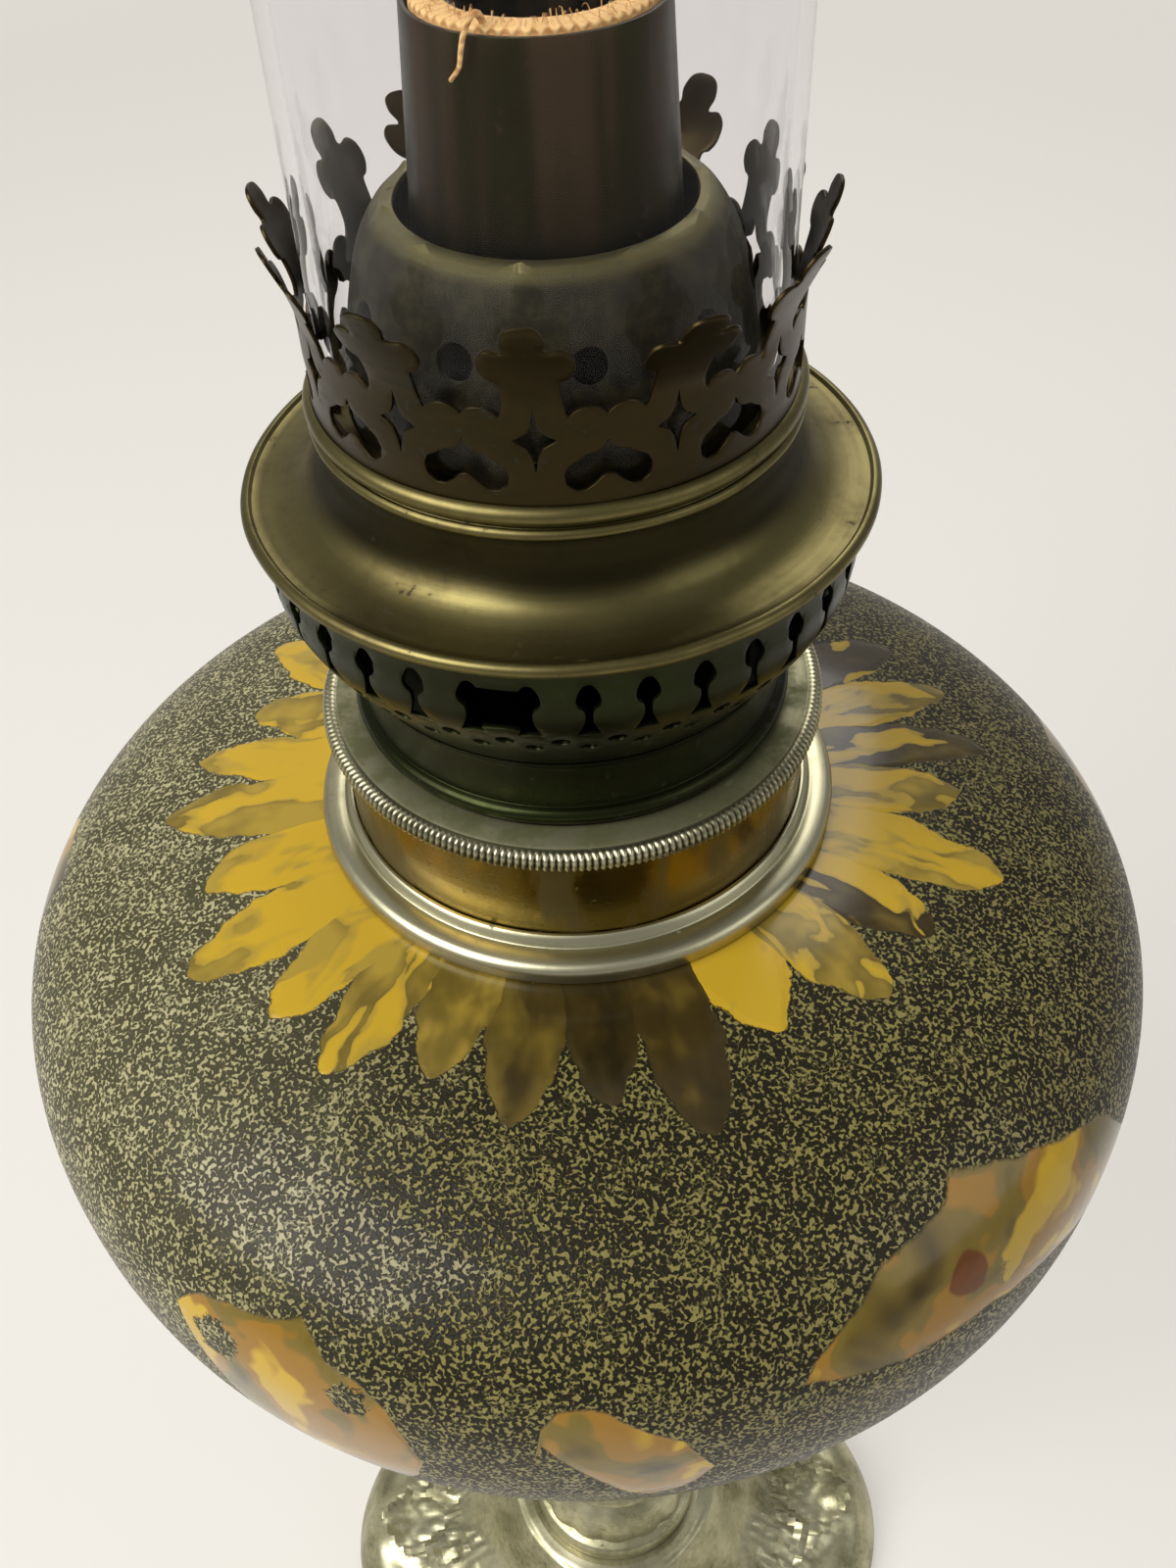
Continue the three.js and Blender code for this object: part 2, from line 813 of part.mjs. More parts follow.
// Air basket: a pierced bowl with a ring of keyholes, one bar between two of them missing.
function airBasketGeometry() {
  const bottom = -basketBottomDepth;
  const top = -(plateThickness / 2 + seatGap);
  const seatOuter = cupRadius + cupFlare;
  const rows = [...basketProfileShares, [1, 1]].map(([radiusShare, heightShare]) => [
    seatOuter + radiusShare * (basketTopRadius - seatOuter),
    bottom + heightShare * (top - bottom),
  ]);
  const foot = 2 + keyholeFootShare;
  const shoulder = 3 + keyholeShoulderShare;
  const head = 3 + keyholeHeadShare;
  const barFoot = 2 + missingBarShares[0];
  const barHead = 3 + missingBarShares[1];
  const outlinesAt = (cell, side) => {
    const isBarMissing = side > 0 ? cell === missingBarCell : cell === missingBarCell + 1;
    const atWaist = [
      [toEdge, 3],
      [keyholeWaistWidth / 2, 3],
    ];
    return [
      plainBand(0),
      plainBand(1),
      [
        [0, 2],
        [toEdge, 2],
        ...(isBarMissing ? [[toEdge, barFoot]] : atWaist),
        [keyholeFootWidth / 2, foot],
        [0, foot],
      ],
      [
        [0, head],
        [keyholeHeadWidth / 2, shoulder],
        ...(isBarMissing ? [[toEdge, barHead]] : [...atWaist].reverse()),
        [toEdge, 4],
        [0, 4],
      ],
    ];
  };
  return piercedSheet(keyholeCount, keyholePhaseDegrees, rows, basketWall, outlinesAt);
}

// A door with a round top, standing on zero.
function archOutline(width, height) {
  const arch = new THREE.Shape();
  arch.moveTo(-width / 2, 0);
  arch.lineTo(width / 2, 0);
  arch.absarc(0, height - width / 2, width / 2, 0, Math.PI, false);
  return arch;
}

function outerWickTubeGeometry() {
  const bottom = -(cupBottomDepth + wickTubeDrop);
  const taperFoot = wickTubeTopHeight - wickTubeTaperHeight;
  const tube = solidOf(
    turned(
      [
        [wickTubeRadius - wickTubeWall, bottom],
        [wickTubeRadius, bottom],
        [wickTubeRadius, taperFoot],
        [wickTubeTopRadius, wickTubeTopHeight],
        [wickTubeTopRadius - wickTubeWall, wickTubeTopHeight],
        [wickTubeRadius - wickTubeWall, taperFoot],
      ],
      wideFacets,
    ),
  );
  const doorWidth = ductWidth + 2 * (ductWall + runningGap);
  const doorHeight = ductHeight + 2 * (ductWall + runningGap);
  const doorFoot = -(ductBottomDepth + ductWall + runningGap);
  const door = archOutline(doorWidth, doorHeight);
  const mouth = radialPrism(door, draughtRadius, wickTubeRadius + cutOverrun, doorFoot, -90);
  const halfWide = wheelSpacing / 2 + wheelThickness;
  const window = boxBetween(
    [draughtRadius, -halfWide, -winderDepth - wheelTipRadius - runningGap],
    [wickTubeRadius + cutOverrun, halfWide, -winderDepth + wheelTipRadius + runningGap],
  );
  return geometryOf(cut(tube, [mouth, window]));
}

// Inner tube, closed below, with a duct to its side through which the inner air comes.
function draughtTubeGeometry() {
  const top = wickTubeTopHeight - draughtTopDrop;
  const floor = -draughtFloorDepth + draughtWall;
  const core = solidOf(cylinderZ(draughtRadius, -draughtFloorDepth, top, wideFacets));
  const frame = archOutline(ductWidth + 2 * ductWall, ductHeight + 2 * ductWall);
  const duct = archOutline(ductWidth, ductHeight);
  const frameFoot = -(ductBottomDepth + ductWall);
  const far = wickTubeRadius + ductWall / 2;
  const outside = joined(core, [radialPrism(frame, 0, far, frameFoot, -90)]);
  const bore = cylinderZ(draughtBore, floor, top + cutOverrun, wideFacets);
  const hole = radialPrism(duct, 0, far + cutOverrun, -ductBottomDepth, -90);
  return geometryOf(cut(outside, [bore, hole]));
}

// Flat wick rolled round the draught tube: one sheet, open at the duct's side, hanging into the oil.
function roundWickGeometry() {
  const top = wickTubeTopHeight + wickProud;
  const bottom = fontFloor + wickFloorClearance - burnerPlane;
  const inner = wickOuterRadius - wickThickness;
  const roll = solidOf(
    turned(
      [
        [inner, bottom],
        [wickOuterRadius, bottom],
        [wickOuterRadius, top],
        [inner, top],
      ],
      wideFacets,
    ),
  );
  const slotWidth = ductWidth + 2 * (ductWall + runningGap);
  const slotTop = -ductBottomDepth + ductHeight + ductWall + wickSlotClearance;
  const slotBottom = bottom - cutOverrun;
  const slot = archOutline(slotWidth, slotTop - slotBottom);
  return geometryOf(cut(roll, [radialPrism(slot, 0, wickTubeRadius, slotBottom, -90)]));
}

// Box soldered on the tube round the wick wheels, open towards the wick.
function wheelHousingGeometry() {
  const far = winderX + wheelTipRadius + runningGap + housingWall;
  const outer = boxBetween(
    [draughtRadius, -housingHalfWidth, -winderDepth - housingHalfHeight],
    [far, housingHalfWidth, -winderDepth + housingHalfHeight],
  );
  const halfWidth = housingHalfWidth - housingWall;
  const halfHeight = housingHalfHeight - housingWall;
  const inside = boxBetween(
    [draughtRadius - cutOverrun, -halfWidth, -winderDepth - halfHeight],
    [far - housingWall, halfWidth, -winderDepth + halfHeight],
  );
  const tubeRoom = cylinderZ(wickTubeRadius + seatGap, -cupBottomDepth, 0, wideFacets);
  const side = housingHalfWidth + cutOverrun;
  const bearings = cylinderY(shaftRadius + runningGap, -side, side, smallFacets);
  bearings.translate(winderX, 0, -winderDepth);
  return geometryOf(cut(solidOf(outer), [inside, tubeRoom, bearings]));
}

// Milled knob with a hub towards the burner.
function winderKnobGeometry() {
  const bore = shaftRadius + runningGap;
  const milled = roundOutline(2 * knobFlutes, (i) => knobRadius - knobFluteDepth * (i % 2));
  const hub = roundOutline(smallFacets, () => knobHubRadius);
  const disc = solidOf(indexed(prismY(milled, bore, knobReach, knobThickness, smallFacets / 2)));
  const overlap = knobThickness / 2;
  const near = knobReach - knobHubLength;
  const boss = prismY(hub, bore, near, knobHubLength + overlap, smallFacets / 2);
  return geometryOf(joined(disc, [indexed(boss)]));
}

function wickWheelGeometry() {
  const root = wheelTipRadius - wheelToothHeight;
  const teeth = roundOutline(2 * wheelTeeth, (i) => (i % 2 === 0 ? wheelTipRadius : root));
  return prismY(teeth, shaftRadius + runningGap, -wheelThickness / 2, wheelThickness, smallFacets / 2);
}

// A nut along Y with a round bore.
function nutGeometry(cornerDiameter, bore, near, length) {
  return prismY(roundOutline(6, () => cornerDiameter / 2), bore, near, length, smallFacets / 2);
}

// Gallery plate: rolled edge, flare, waist, bead and the seat for the glass and the crown.
function galleryPlateGeometry() {
  const rollCentre = plateRadius - plateRollRadius;
  const roll = arcPoints(rollCentre, 0, plateRollRadius, plateRollFromDegrees, 90, 3);
  const top = plateThickness / 2;
  const reach = rollCentre - waistRadius;
  const flare = flareShares.map(([radiusShare, heightShare]) => [
    waistRadius + radiusShare * reach,
    top + heightShare * flareHeight,
  ]);
  const under = flareShares
    .filter((pair, i) => i % 2 === 0)
    .map(([radiusShare, heightShare]) => [
      waistRadius + radiusShare * reach - plateThickness * heightShare,
      top + heightShare * flareHeight - plateThickness * (1 - heightShare),
    ])
    .reverse();
  const beadCentre = beadOuterRadius - beadRollRadius;
  const bead = arcPoints(beadCentre, beadHeight, beadRollRadius, -beadHalfDegrees, beadHalfDegrees, 2);
  const floorUnder = seatHeight - plateThickness;
  const spigotOuter = inscribed(basketTopRadius - basketWall, 2 * keyholeCount) - ledgeGap;
  const spigotInner = spigotOuter - plateThickness;
  const lineHalf = (lineRingRadius - waistRadius) / 2;
  return turned(
    [
      ...roll,
      ...flare,
      [waistRadius, lineRingHeight - lineHalf],
      [lineRingRadius, lineRingHeight],
      [waistRadius, lineRingHeight + lineHalf],
      ...bead,
      [crownRoom, beadHeight + beadRollRadius],
      [crownRoom, seatHeight],
      [seatInnerRadius, seatHeight],
      [seatInnerRadius, floorUnder],
      [waistRadius - plateThickness, floorUnder],
      ...under.slice(0, -1),
      [spigotInner, top - plateThickness],
      [spigotInner, -spigotDepth],
      [spigotOuter, -spigotDepth],
      [spigotOuter, top - plateThickness],
      [roll[0][0], top - plateThickness],
    ],
    wideFacets,
  );
}

// Points along an arc, between two angles in degrees.
function arcPoints(x, y, radius, from, to, steps) {
  const points = [];
  for (let i = 0; i <= steps; i += 1) {
    const angle = THREE.MathUtils.degToRad(from + ((to - from) * i) / steps);
    points.push([x + radius * Math.cos(angle), y + radius * Math.sin(angle)]);
  }
  return points;
}

// Pierced crown: prongs with trefoil heads on a low scalloped wall, a star below each, leaves between.
function chimneyCrownGeometry() {
  const rows = [
    [crownOuterRadius, 0],
    [crownOuterRadius, crownBendHeight],
    [crownOuterRadius + crownLean, crownHeight],
  ];
  const leaves = leafOutlineShares
    .map(([x, y]) => [x > 0 ? -x * leafHalfWidth : toEdge, leafHeight + y * leafHalfHeight])
    .reverse();
  const star = starOutlineShares.map(([x, y]) => [x * starHalfWidth, starHeight + y * starHalfHeight]);
  const chord = 2 * crownOuterRadius * Math.sin(Math.PI / wideFacets / 2);
  const wall = [
    [0, 0],
    [toEdge, 0],
    ...leaves,
    [toEdge, crownWallHeight],
    [(prongRootHalf + chord) / 2, crownWallHeight + scallopRise],
    [prongRootHalf, crownWallHeight],
    [prongBendHalf, crownBendHeight],
    [0, crownBendHeight],
    ...star,
  ].map(([x, z]) => [x, z / crownBendHeight]);
  const prong = [
    [0, crownBendHeight],
    [prongBendHalf, crownBendHeight],
    ...arcPoints(prongSideReach, crownHeight - prongSideDrop, prongSideRadius, ...prongSideDegrees, 3),
    ...arcPoints(0, crownHeight - prongTopRadius, prongTopRadius, 0, 90, 2),
  ].map(([x, z]) => [x, 1 + (z - crownBendHeight) / (crownHeight - crownBendHeight)]);
  return piercedSheet(prongCount, prongPhaseDegrees, rows, crownWall, () => [wall, prong]);
}

// Flame cone: a dome with a round mouth, a flange held under the plate's seat and a ring of air holes.
function flameConeGeometry() {
  const flangeTop = seatHeight - plateThickness - seatGap;
  const rows = [
    [coneBaseRadius + coneFlange, flangeTop],
    [coneBaseRadius, flangeTop],
    ...coneProfileShares.map(([radiusShare, heightShare]) => [
      coneMouthRadius + radiusShare * (coneBaseRadius - coneMouthRadius),
      flangeTop + heightShare * (coneMouthHeight - flangeTop),
    ]),
  ];
  const slant = Math.hypot(rows[4][0] - rows[3][0], rows[4][1] - rows[3][1]);
  const hole = arcPoints(0, 0, coneHoleRadius, 90, -90, 4).map(([x, y]) => [Math.abs(x), 3.5 + y / slant]);
  const pierced = [[0, 3], [toEdge, 3], [toEdge, 4], [0, 4], ...hole];
  const halfCell = [0, 1, 2, 4, 5].map(plainBand);
  return piercedSheet(coneHoles, coneHolePhaseDegrees, rows, coneWall, () => [...halfCell, pierced]);
}

function glassChimneyGeometry() {
  const outer = [
    ...glassShoulderShares.map(([radiusShare, heightShare]) => [
      glassPinchRadius + radiusShare * (glassRadius - glassPinchRadius),
      heightShare * glassPinchHeight,
    ]),
    [glassPinchRadius, glassPinchHeight],
    [glassTubeRadius, glassTubeHeight],
    [glassTopRadius, glassHeight],
  ];
  const inner = outer.map(([r, z]) => [r - glassWall, z]).reverse();
  return turned([...outer, ...inner], wideFacets);
}

// A ring with a square section, from its lower edge up.
function ringGeometry(innerRadius, outerRadius, thickness, facetCount) {
  return turned(
    [
      [innerRadius, 0],
      [outerRadius, 0],
      [outerRadius, thickness],
      [innerRadius, thickness],
    ],
    facetCount,
  );
}

// Adds a named piece with its own finish to a group, at a height.
function addPiece(group, name, geometry, [color, roughness, metalness], [x, y, z] = [0, 0, 0]) {
  const material = new THREE.MeshStandardMaterial({ color, roughness, metalness });
  const piece = new THREE.Mesh(geometry, material);
  piece.name = name;
  piece.position.set(x, y, z);
  group.add(piece);
  return piece;
}

const nickel = [0xaaa58c, 0.35, 0.9];
const agedBrass = [0x5f5232, 0.45, 0.8];
const brightBrass = [0x8f6f2a, 0.3, 0.9];
const darkBrass = [0x2d260f, 0.5, 0.7];
const iron = [0x4a4a48, 0.6, 0.8];
const ceramic = [0x5a5443, 0.55, 0];
const plaster = [0xcfc9b8, 0.9, 0];
const leather = [0x3c2a1c, 0.8, 0];
const cotton = [0xc8965a, 0.95, 0];
const glass = [0xf1eef2, 0.05, 0];

const lamp = new THREE.Group();

// Stand: foot, stem, dish and tie rod
const stand = new THREE.Group();
lamp.add(stand);
addPiece(stand, "cast_foot", footGeometry(), nickel);
const knop = stemGeometry(knopHeight, knopRadius, knopProfileShares, knopFlutedShares);
addPiece(stand, "stem_knop", knop, nickel, [0, 0, knopBottom]);
const vase = stemGeometry(vaseHeight, vaseRadius, vaseProfileShares, vaseFlutedShares);
addPiece(stand, "stem_vase", vase, nickel, [0, 0, vaseBottom]);
addPiece(stand, "font_socket", socketGeometry(), nickel, [0, 0, socketBottom]);
const bed = cylinderZ(fontFootRadius, 0, plasterThickness, wideFacets);
addPiece(stand, "socket_plaster", bed, plaster, [0, 0, plasterBottom]);
const washerTop = footHeight - 2 * footWall - seatGap;
const nutTop = washerTop - washerThickness - seatGap;
const rodBottom = nutTop - nutHeight - rodDrop / 4;
const rod = cylinderZ(rodRadius, rodBottom, socketBottom + socketFloor, smallFacets);
addPiece(stand, "tie_rod", rod, iron);
const washer = ringGeometry(rodRadius + runningGap, washerRadius, washerThickness, smallFacets);
addPiece(stand, "tie_rod_washer", washer, iron, [0, 0, washerTop - washerThickness]);
const nut = nutGeometry(nutAcrossCorners, rodRadius + runningGap, -nutHeight, nutHeight).rotateX(Math.PI / 2);
addPiece(stand, "tie_rod_nut", nut, iron, [0, 0, nutTop]);

// Font and collar
addPiece(lamp, "ceramic_font", fontGeometry(), ceramic, [0, 0, fontBottom]);
const collar = new THREE.Group();
collar.position.z = collarBottom;
lamp.add(collar);
const plasterInner = fontNeckRadius + runningGap;
const plasterOuter = collarWallRadius - collarWallThickness - runningGap;
const plasterHeight = fontNeckHeight - 2 * seatGap;
const cement = ringGeometry(plasterInner, plasterOuter, plasterHeight, wideFacets);
addPiece(collar, "collar_plaster", cement, plaster);
addPiece(collar, "collar_ring", collarRingGeometry(), nickel);
addPiece(collar, "collar_wall", collarWallGeometry(), brightBrass);
addPiece(lamp, "bayonet_cap", bayonetCapGeometry(), nickel, [0, 0, capFace]);
const washerSeat = capFace - capRecessDepth + seatGap;
const seatWasher = ringGeometry(
  threadRadius + ledgeGap,
  capRecessRadius - runningGap,
  seatWasherThickness,
  wideFacets,
);
addPiece(lamp, "seat_washer", seatWasher, leather, [0, 0, washerSeat]);

// Burner
const burner = new THREE.Group();
burner.position.z = burnerPlane;
lamp.add(burner);
addPiece(burner, "burner_cup", burnerCupGeometry(), darkBrass);
addPiece(burner, "air_basket", airBasketGeometry(), darkBrass);
addPiece(burner, "outer_wick_tube", outerWickTubeGeometry(), darkBrass);
addPiece(burner, "draught_tube", draughtTubeGeometry(), darkBrass);
addPiece(burner, "wheel_housing", wheelHousingGeometry(), agedBrass);
addPiece(burner, "round_wick", roundWickGeometry(), cotton);

// Winder, along Y beside the wick tube, with its knob at the back
const winder = new THREE.Group();
winder.position.set(winderX, 0, -winderDepth);
burner.add(winder);
const glandNear = housingHalfWidth + seatGap;
const bush = roundOutline(smallFacets, () => glandRadius);
const bushLength = glandReach - glandNear;
const gland = prismY(bush, shaftRadius + runningGap, glandNear, bushLength, smallFacets / 2);
addPiece(winder, "shaft_gland", gland, agedBrass);
const glandNut = nutGeometry(glandNutCorners, shaftRadius + runningGap, glandReach + seatGap, glandNutLength);
addPiece(winder, "gland_nut", glandNut, agedBrass);
const shaftNear = -(housingHalfWidth - shaftTail);
const shaft = cylinderY(shaftRadius, shaftNear, knobReach + knobThickness, smallFacets);
addPiece(winder, "winder_shaft", shaft, agedBrass);
[-1, 1].forEach((side, i) => {
  const place = [0, (side * wheelSpacing) / 2, 0];
  addPiece(winder, "wick_wheel_" + (i + 1), wickWheelGeometry(), agedBrass, place);
});
addPiece(winder, "winder_knob", winderKnobGeometry(), agedBrass);

// Gallery, with crown, cone and chimney on its seat
addPiece(burner, "gallery_plate", galleryPlateGeometry(), agedBrass);
addPiece(burner, "chimney_crown", chimneyCrownGeometry(), darkBrass, [0, 0, seatHeight + seatGap]);
addPiece(burner, "flame_cone", flameConeGeometry(), agedBrass);
addPiece(burner, "glass_chimney", glassChimneyGeometry(), glass, [0, 0, seatHeight + seatGap]);

export default lamp;
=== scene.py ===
import json
import math
import random

import bmesh
import bpy
from mathutils import Matrix, Vector, geometry, noise


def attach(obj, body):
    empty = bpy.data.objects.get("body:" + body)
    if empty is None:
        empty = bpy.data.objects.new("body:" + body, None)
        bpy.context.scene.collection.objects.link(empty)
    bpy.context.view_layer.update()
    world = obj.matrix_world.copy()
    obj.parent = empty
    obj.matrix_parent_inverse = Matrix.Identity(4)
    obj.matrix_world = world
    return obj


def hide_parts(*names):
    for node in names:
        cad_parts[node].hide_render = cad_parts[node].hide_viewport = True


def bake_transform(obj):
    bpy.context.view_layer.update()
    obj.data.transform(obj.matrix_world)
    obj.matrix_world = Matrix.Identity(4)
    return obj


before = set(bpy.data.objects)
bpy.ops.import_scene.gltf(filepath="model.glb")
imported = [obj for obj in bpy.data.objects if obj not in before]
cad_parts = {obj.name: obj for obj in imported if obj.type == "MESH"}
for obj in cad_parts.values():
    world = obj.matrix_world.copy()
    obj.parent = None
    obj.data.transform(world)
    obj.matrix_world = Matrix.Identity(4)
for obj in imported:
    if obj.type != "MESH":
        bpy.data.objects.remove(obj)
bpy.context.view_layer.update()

bl_info = {
    "name": "Kerosene Table Lamp",
    "version": (1, 0, 0),
    "blender": (4, 5, 0),
    "location": "View3D > Sidebar > Lamp",
    "description": "Dresses a packed kerosene table lamp with fine meshes and procedural finishes",
    "category": "Object",
}

# The lamp's front faces -Y. Azimuths are degrees from there towards +X.
MM = 0.001
TURN = 2 * math.pi
SHARP_EDGE = math.radians(35)
BEVELLED_EDGE = math.radians(50)
ON_AXIS = 1e-6
TOO_SHORT = 1e-7
SEAM = 1e-6
TINY = 1e-9


# Colours

def paint(red, green, blue):
    """A colour from its 0 to 255 values, as the linear values that shaders take."""
    def linear(value):
        share = value / 255
        return share / 12.92 if share <= 0.04045 else ((share + 0.055) / 1.055) ** 2.4
    return (linear(red), linear(green), linear(blue), 1.0)


# Shader maths

def adds(operation, reflected=False):
    """A method of Value that adds a Math node."""
    def method(self, other):
        return self.shader.maths(operation, *((other, self) if reflected else (self, other)))
    return method


class Value:
    """A socket of a shader, on which Python's operators add Math nodes."""

    def __init__(self, shader, socket):
        self.shader = shader
        self.socket = socket

    __add__, __radd__ = adds("ADD"), adds("ADD", True)
    __sub__, __rsub__ = adds("SUBTRACT"), adds("SUBTRACT", True)
    __mul__, __rmul__ = adds("MULTIPLY"), adds("MULTIPLY", True)
    __truediv__, __rtruediv__ = adds("DIVIDE"), adds("DIVIDE", True)
    __pow__, __rpow__ = adds("POWER"), adds("POWER", True)

    def __abs__(self):
        return self.shader.maths("ABSOLUTE", self)


class Shader:
    """The nodes of a material or a world, while they are added."""

    def __init__(self, owner):
        self.owner = owner
        owner.use_nodes = True
        self.tree = owner.node_tree
        self.tree.nodes.clear()

    def node(self, kind, inputs=None, output=0, stops=None, between="LINEAR", **settings):
        """Any node: its settings and ramp stops come first, then its inputs' values or links."""
        node = self.tree.nodes.new(kind)
        for key, setting in settings.items():
            setattr(node, key, setting)
        if stops:
            ramp = node.color_ramp
            ramp.interpolation = between
            while len(ramp.elements) < len(stops):
                ramp.elements.new(1.0)
            for element, (position, colour) in zip(ramp.elements, stops):
                element.position = position
                element.color = colour
        for key, value in (inputs or {}).items():
            if isinstance(value, Value):
                self.tree.links.new(value.socket, node.inputs[key])
            else:
                node.inputs[key].default_value = value
        return Value(self, node.outputs[output]) if node.outputs else None

    def maths(self, operation, *values):
        return self.node("ShaderNodeMath", dict(enumerate(values)), operation=operation)

    def lowest(self, a, b):
        return self.maths("MINIMUM", a, b)

    def highest(self, a, b):
        return self.maths("MAXIMUM", a, b)

    def blended(self, mask, first, second):
        """A shader between two, by a mask."""
        return self.node("ShaderNodeMixShader", {0: mask, 1: first, 2: second})

    def ray(self, kind):
        """Whether a ray is of a kind, such as Camera."""
        return self.node("ShaderNodeLightPath", output=f"Is {kind} Ray")

    def closed(self, shader, kind="Material"):
        """The material or the world, with its output node."""
        self.node(f"ShaderNodeOutput{kind}", {"Surface": shader})
        return self.owner


class Finish(Shader):
    """One material, with its patterns in the object's own metres."""

    def __init__(self, name):
        super().__init__(bpy.data.materials.new(name))
        self.place = self.node("ShaderNodeTexCoord", output="Object")
        self.x, self.y, self.z = (
            self.node("ShaderNodeSeparateXYZ", {0: self.place}, output=axis) for axis in "XYZ"
        )

    def ramp(self, value, low, high):
        """A smooth step from 0 at low to 1 at high."""
        inputs = {"Value": value, "From Min": low, "From Max": high}
        return self.node("ShaderNodeMapRange", inputs, interpolation_type="SMOOTHSTEP")

    def mix(self, mask, first, second):
        """A colour between two, by a mask."""
        inputs = {0: mask, 6: first, 7: second}
        return self.node("ShaderNodeMix", inputs, output=2, data_type="RGBA")

    def joined(self, x, y, z):
        """A place made of three values."""
        return self.node("ShaderNodeCombineXYZ", {"X": x, "Y": y, "Z": z})

    def noise(self, grain, detail=2.0, roughness=0.5, place=None, distortion=0.0):
        """Soft noise with spots about as large as the grain."""
        inputs = {
            "Vector": place or self.place,
            "Scale": 1 / grain,
            "Detail": detail,
            "Roughness": roughness,
            "Distortion": distortion,
        }
        return self.node("ShaderNodeTexNoise", inputs)

    def table(self, position, stops, between="LINEAR"):
        """Three values looked up at a position of 0 to 1."""
        looked_up = self.node("ShaderNodeValToRGB", {0: position}, stops=stops, between=between)
        return [
            self.node("ShaderNodeSeparateColor", {0: looked_up}, output=channel)
            for channel in ("Red", "Green", "Blue")
        ]

    def shades(self, tone, stops):
        """A colour from a row of glazes."""
        return self.node("ShaderNodeValToRGB", {0: tone}, stops=stops)

    def distance(self, point):
        """Distance to a point, in metres."""
        inputs = {0: self.place, 1: point}
        return self.node("ShaderNodeVectorMath", inputs, output="Value", operation="DISTANCE")

    def above(self, low, high):
        """A smooth step between two heights in millimetres."""
        return self.ramp(self.z, low * MM, high * MM)

    def beyond(self, inner, outer):
        """A smooth step between two radii in millimetres."""
        return self.ramp(self.radius(), inner * MM, outer * MM)

    def azimuth(self):
        """The azimuth in turns, from -0.5 to 0.5."""
        return self.maths("ARCTAN2", self.x, 0 - self.y) / TURN

    def radius(self):
        return self.maths("SQRT", self.x * self.x + self.y * self.y)

    def bump(self, height, depth, strength):
        """A normal from a height of 0 to 1 that stands for a depth."""
        inputs = {"Strength": strength, "Distance": depth, "Height": height}
        return self.node("ShaderNodeBump", inputs)

    def surface(self, **sockets):
        """The closing shader. A socket's name has underscores for its spaces."""
        inputs = {name.replace("_", " "): value for name, value in sockets.items()}
        return self.closed(self.node("ShaderNodeBsdfPrincipled", inputs))


# Outlines and meshes

def around(radius, angle, z):
    """The point at a radius, at an angle from the front, and at a height."""
    return (radius * math.sin(angle), -radius * math.cos(angle), z)


def curve(points, steps=6):
    """A smooth line through points, as a list of points."""
    line = []
    last = len(points) - 1
    for i in range(last):
        before, start = points[max(0, i - 1)], points[i]
        end, after = points[i + 1], points[min(last, i + 2)]
        for k in range(steps):
            t = k / steps
            line.append(tuple(
                0.5 * (2 * b + t * (c - a) + t * t * (2 * a - 5 * b + 4 * c - d)
                       + t ** 3 * (3 * b - a - 3 * c + d))
                for a, b, c, d in zip(before, start, end, after)
            ))
    return line + [tuple(points[last])]


def arc(x, y, radius, start, end, steps=6):
    """Points along an arc between two angles in degrees."""
    angles = [math.radians(start + (end - start) * i / steps) for i in range(steps + 1)]
    return [(x + radius * math.cos(a), y + radius * math.sin(a)) for a in angles]


def eased(section, radius):
    """A closed section with its corners rounded, so that its edges catch the light."""
    soft = []
    count = len(section)
    for i in range(count):
        here = Vector(section[i])
        before, after = Vector(section[i - 1]) - here, Vector(section[(i + 1) % count]) - here
        if before.length < TOO_SHORT or after.length < TOO_SHORT:
            continue
        turn = math.pi - before.angle(after)
        if turn < SHARP_EDGE or here.x < ON_AXIS:
            soft.append(tuple(here))
            continue
        reach = min(radius * math.tan(turn / 2), 0.45 * before.length, 0.45 * after.length)
        start, end = here + before.normalized() * reach, here + after.normalized() * reach
        for k in range(4):
            t = k / 3
            soft.append(tuple((1 - t) ** 2 * start + 2 * t * (1 - t) * here + t * t * end))
    return soft


def formed(section_at, segments):
    """Vertices and faces of a ring round the Z axis, whose section changes with the angle."""
    vertices, rings, faces = [], [], []
    sections = [section_at(TURN * k / segments) for k in range(segments)]
    for i, (radius, height) in enumerate(sections[0]):
        if radius < ON_AXIS:
            rings.append([len(vertices)] * segments)
            vertices.append((0, 0, height))
            continue
        rings.append(list(range(len(vertices), len(vertices) + segments)))
        for k, section in enumerate(sections):
            r, z = section[i]
            vertices.append(around(r, TURN * k / segments, z))
    for i, ring in enumerate(rings):
        above = rings[(i + 1) % len(rings)]
        if ring[0] == ring[1] and above[0] == above[1]:
            continue
        for k in range(segments):
            n = (k + 1) % segments
            faces.append(list(dict.fromkeys([ring[k], ring[n], above[n], above[k]])))
    return vertices, faces


def inside(point, outline):
    """Whether a flat point lies in a closed outline."""
    x, y = point
    found = False
    for (ax, ay), (bx, by) in zip(outline, outline[1:] + outline[:1]):
        if (ay > y) != (by > y) and x < ax + (y - ay) * (bx - ax) / (by - ay):
            found = not found
    return found


def on_sheet(point, outline, *holes):
    """Whether a flat point lies in an outline and in none of its holes."""
    return inside(point, outline) and not any(inside(point, hole) for hole in holes)


def far_from(point, outline, gap):
    """Whether a flat point keeps a gap to every corner of an outline."""
    return all(math.hypot(point[0] - x, point[1] - y) > gap for x, y in outline)


def subdivided(outline, step):
    """A closed outline with points added, so that no side is longer than a step."""
    line = []
    for a, b in zip(outline, outline[1:] + outline[:1]):
        pieces = max(1, math.ceil(math.dist(a, b) / step))
        line += [tuple(p + (q - p) * k / pieces for p, q in zip(a, b)) for k in range(pieces)]
    return line


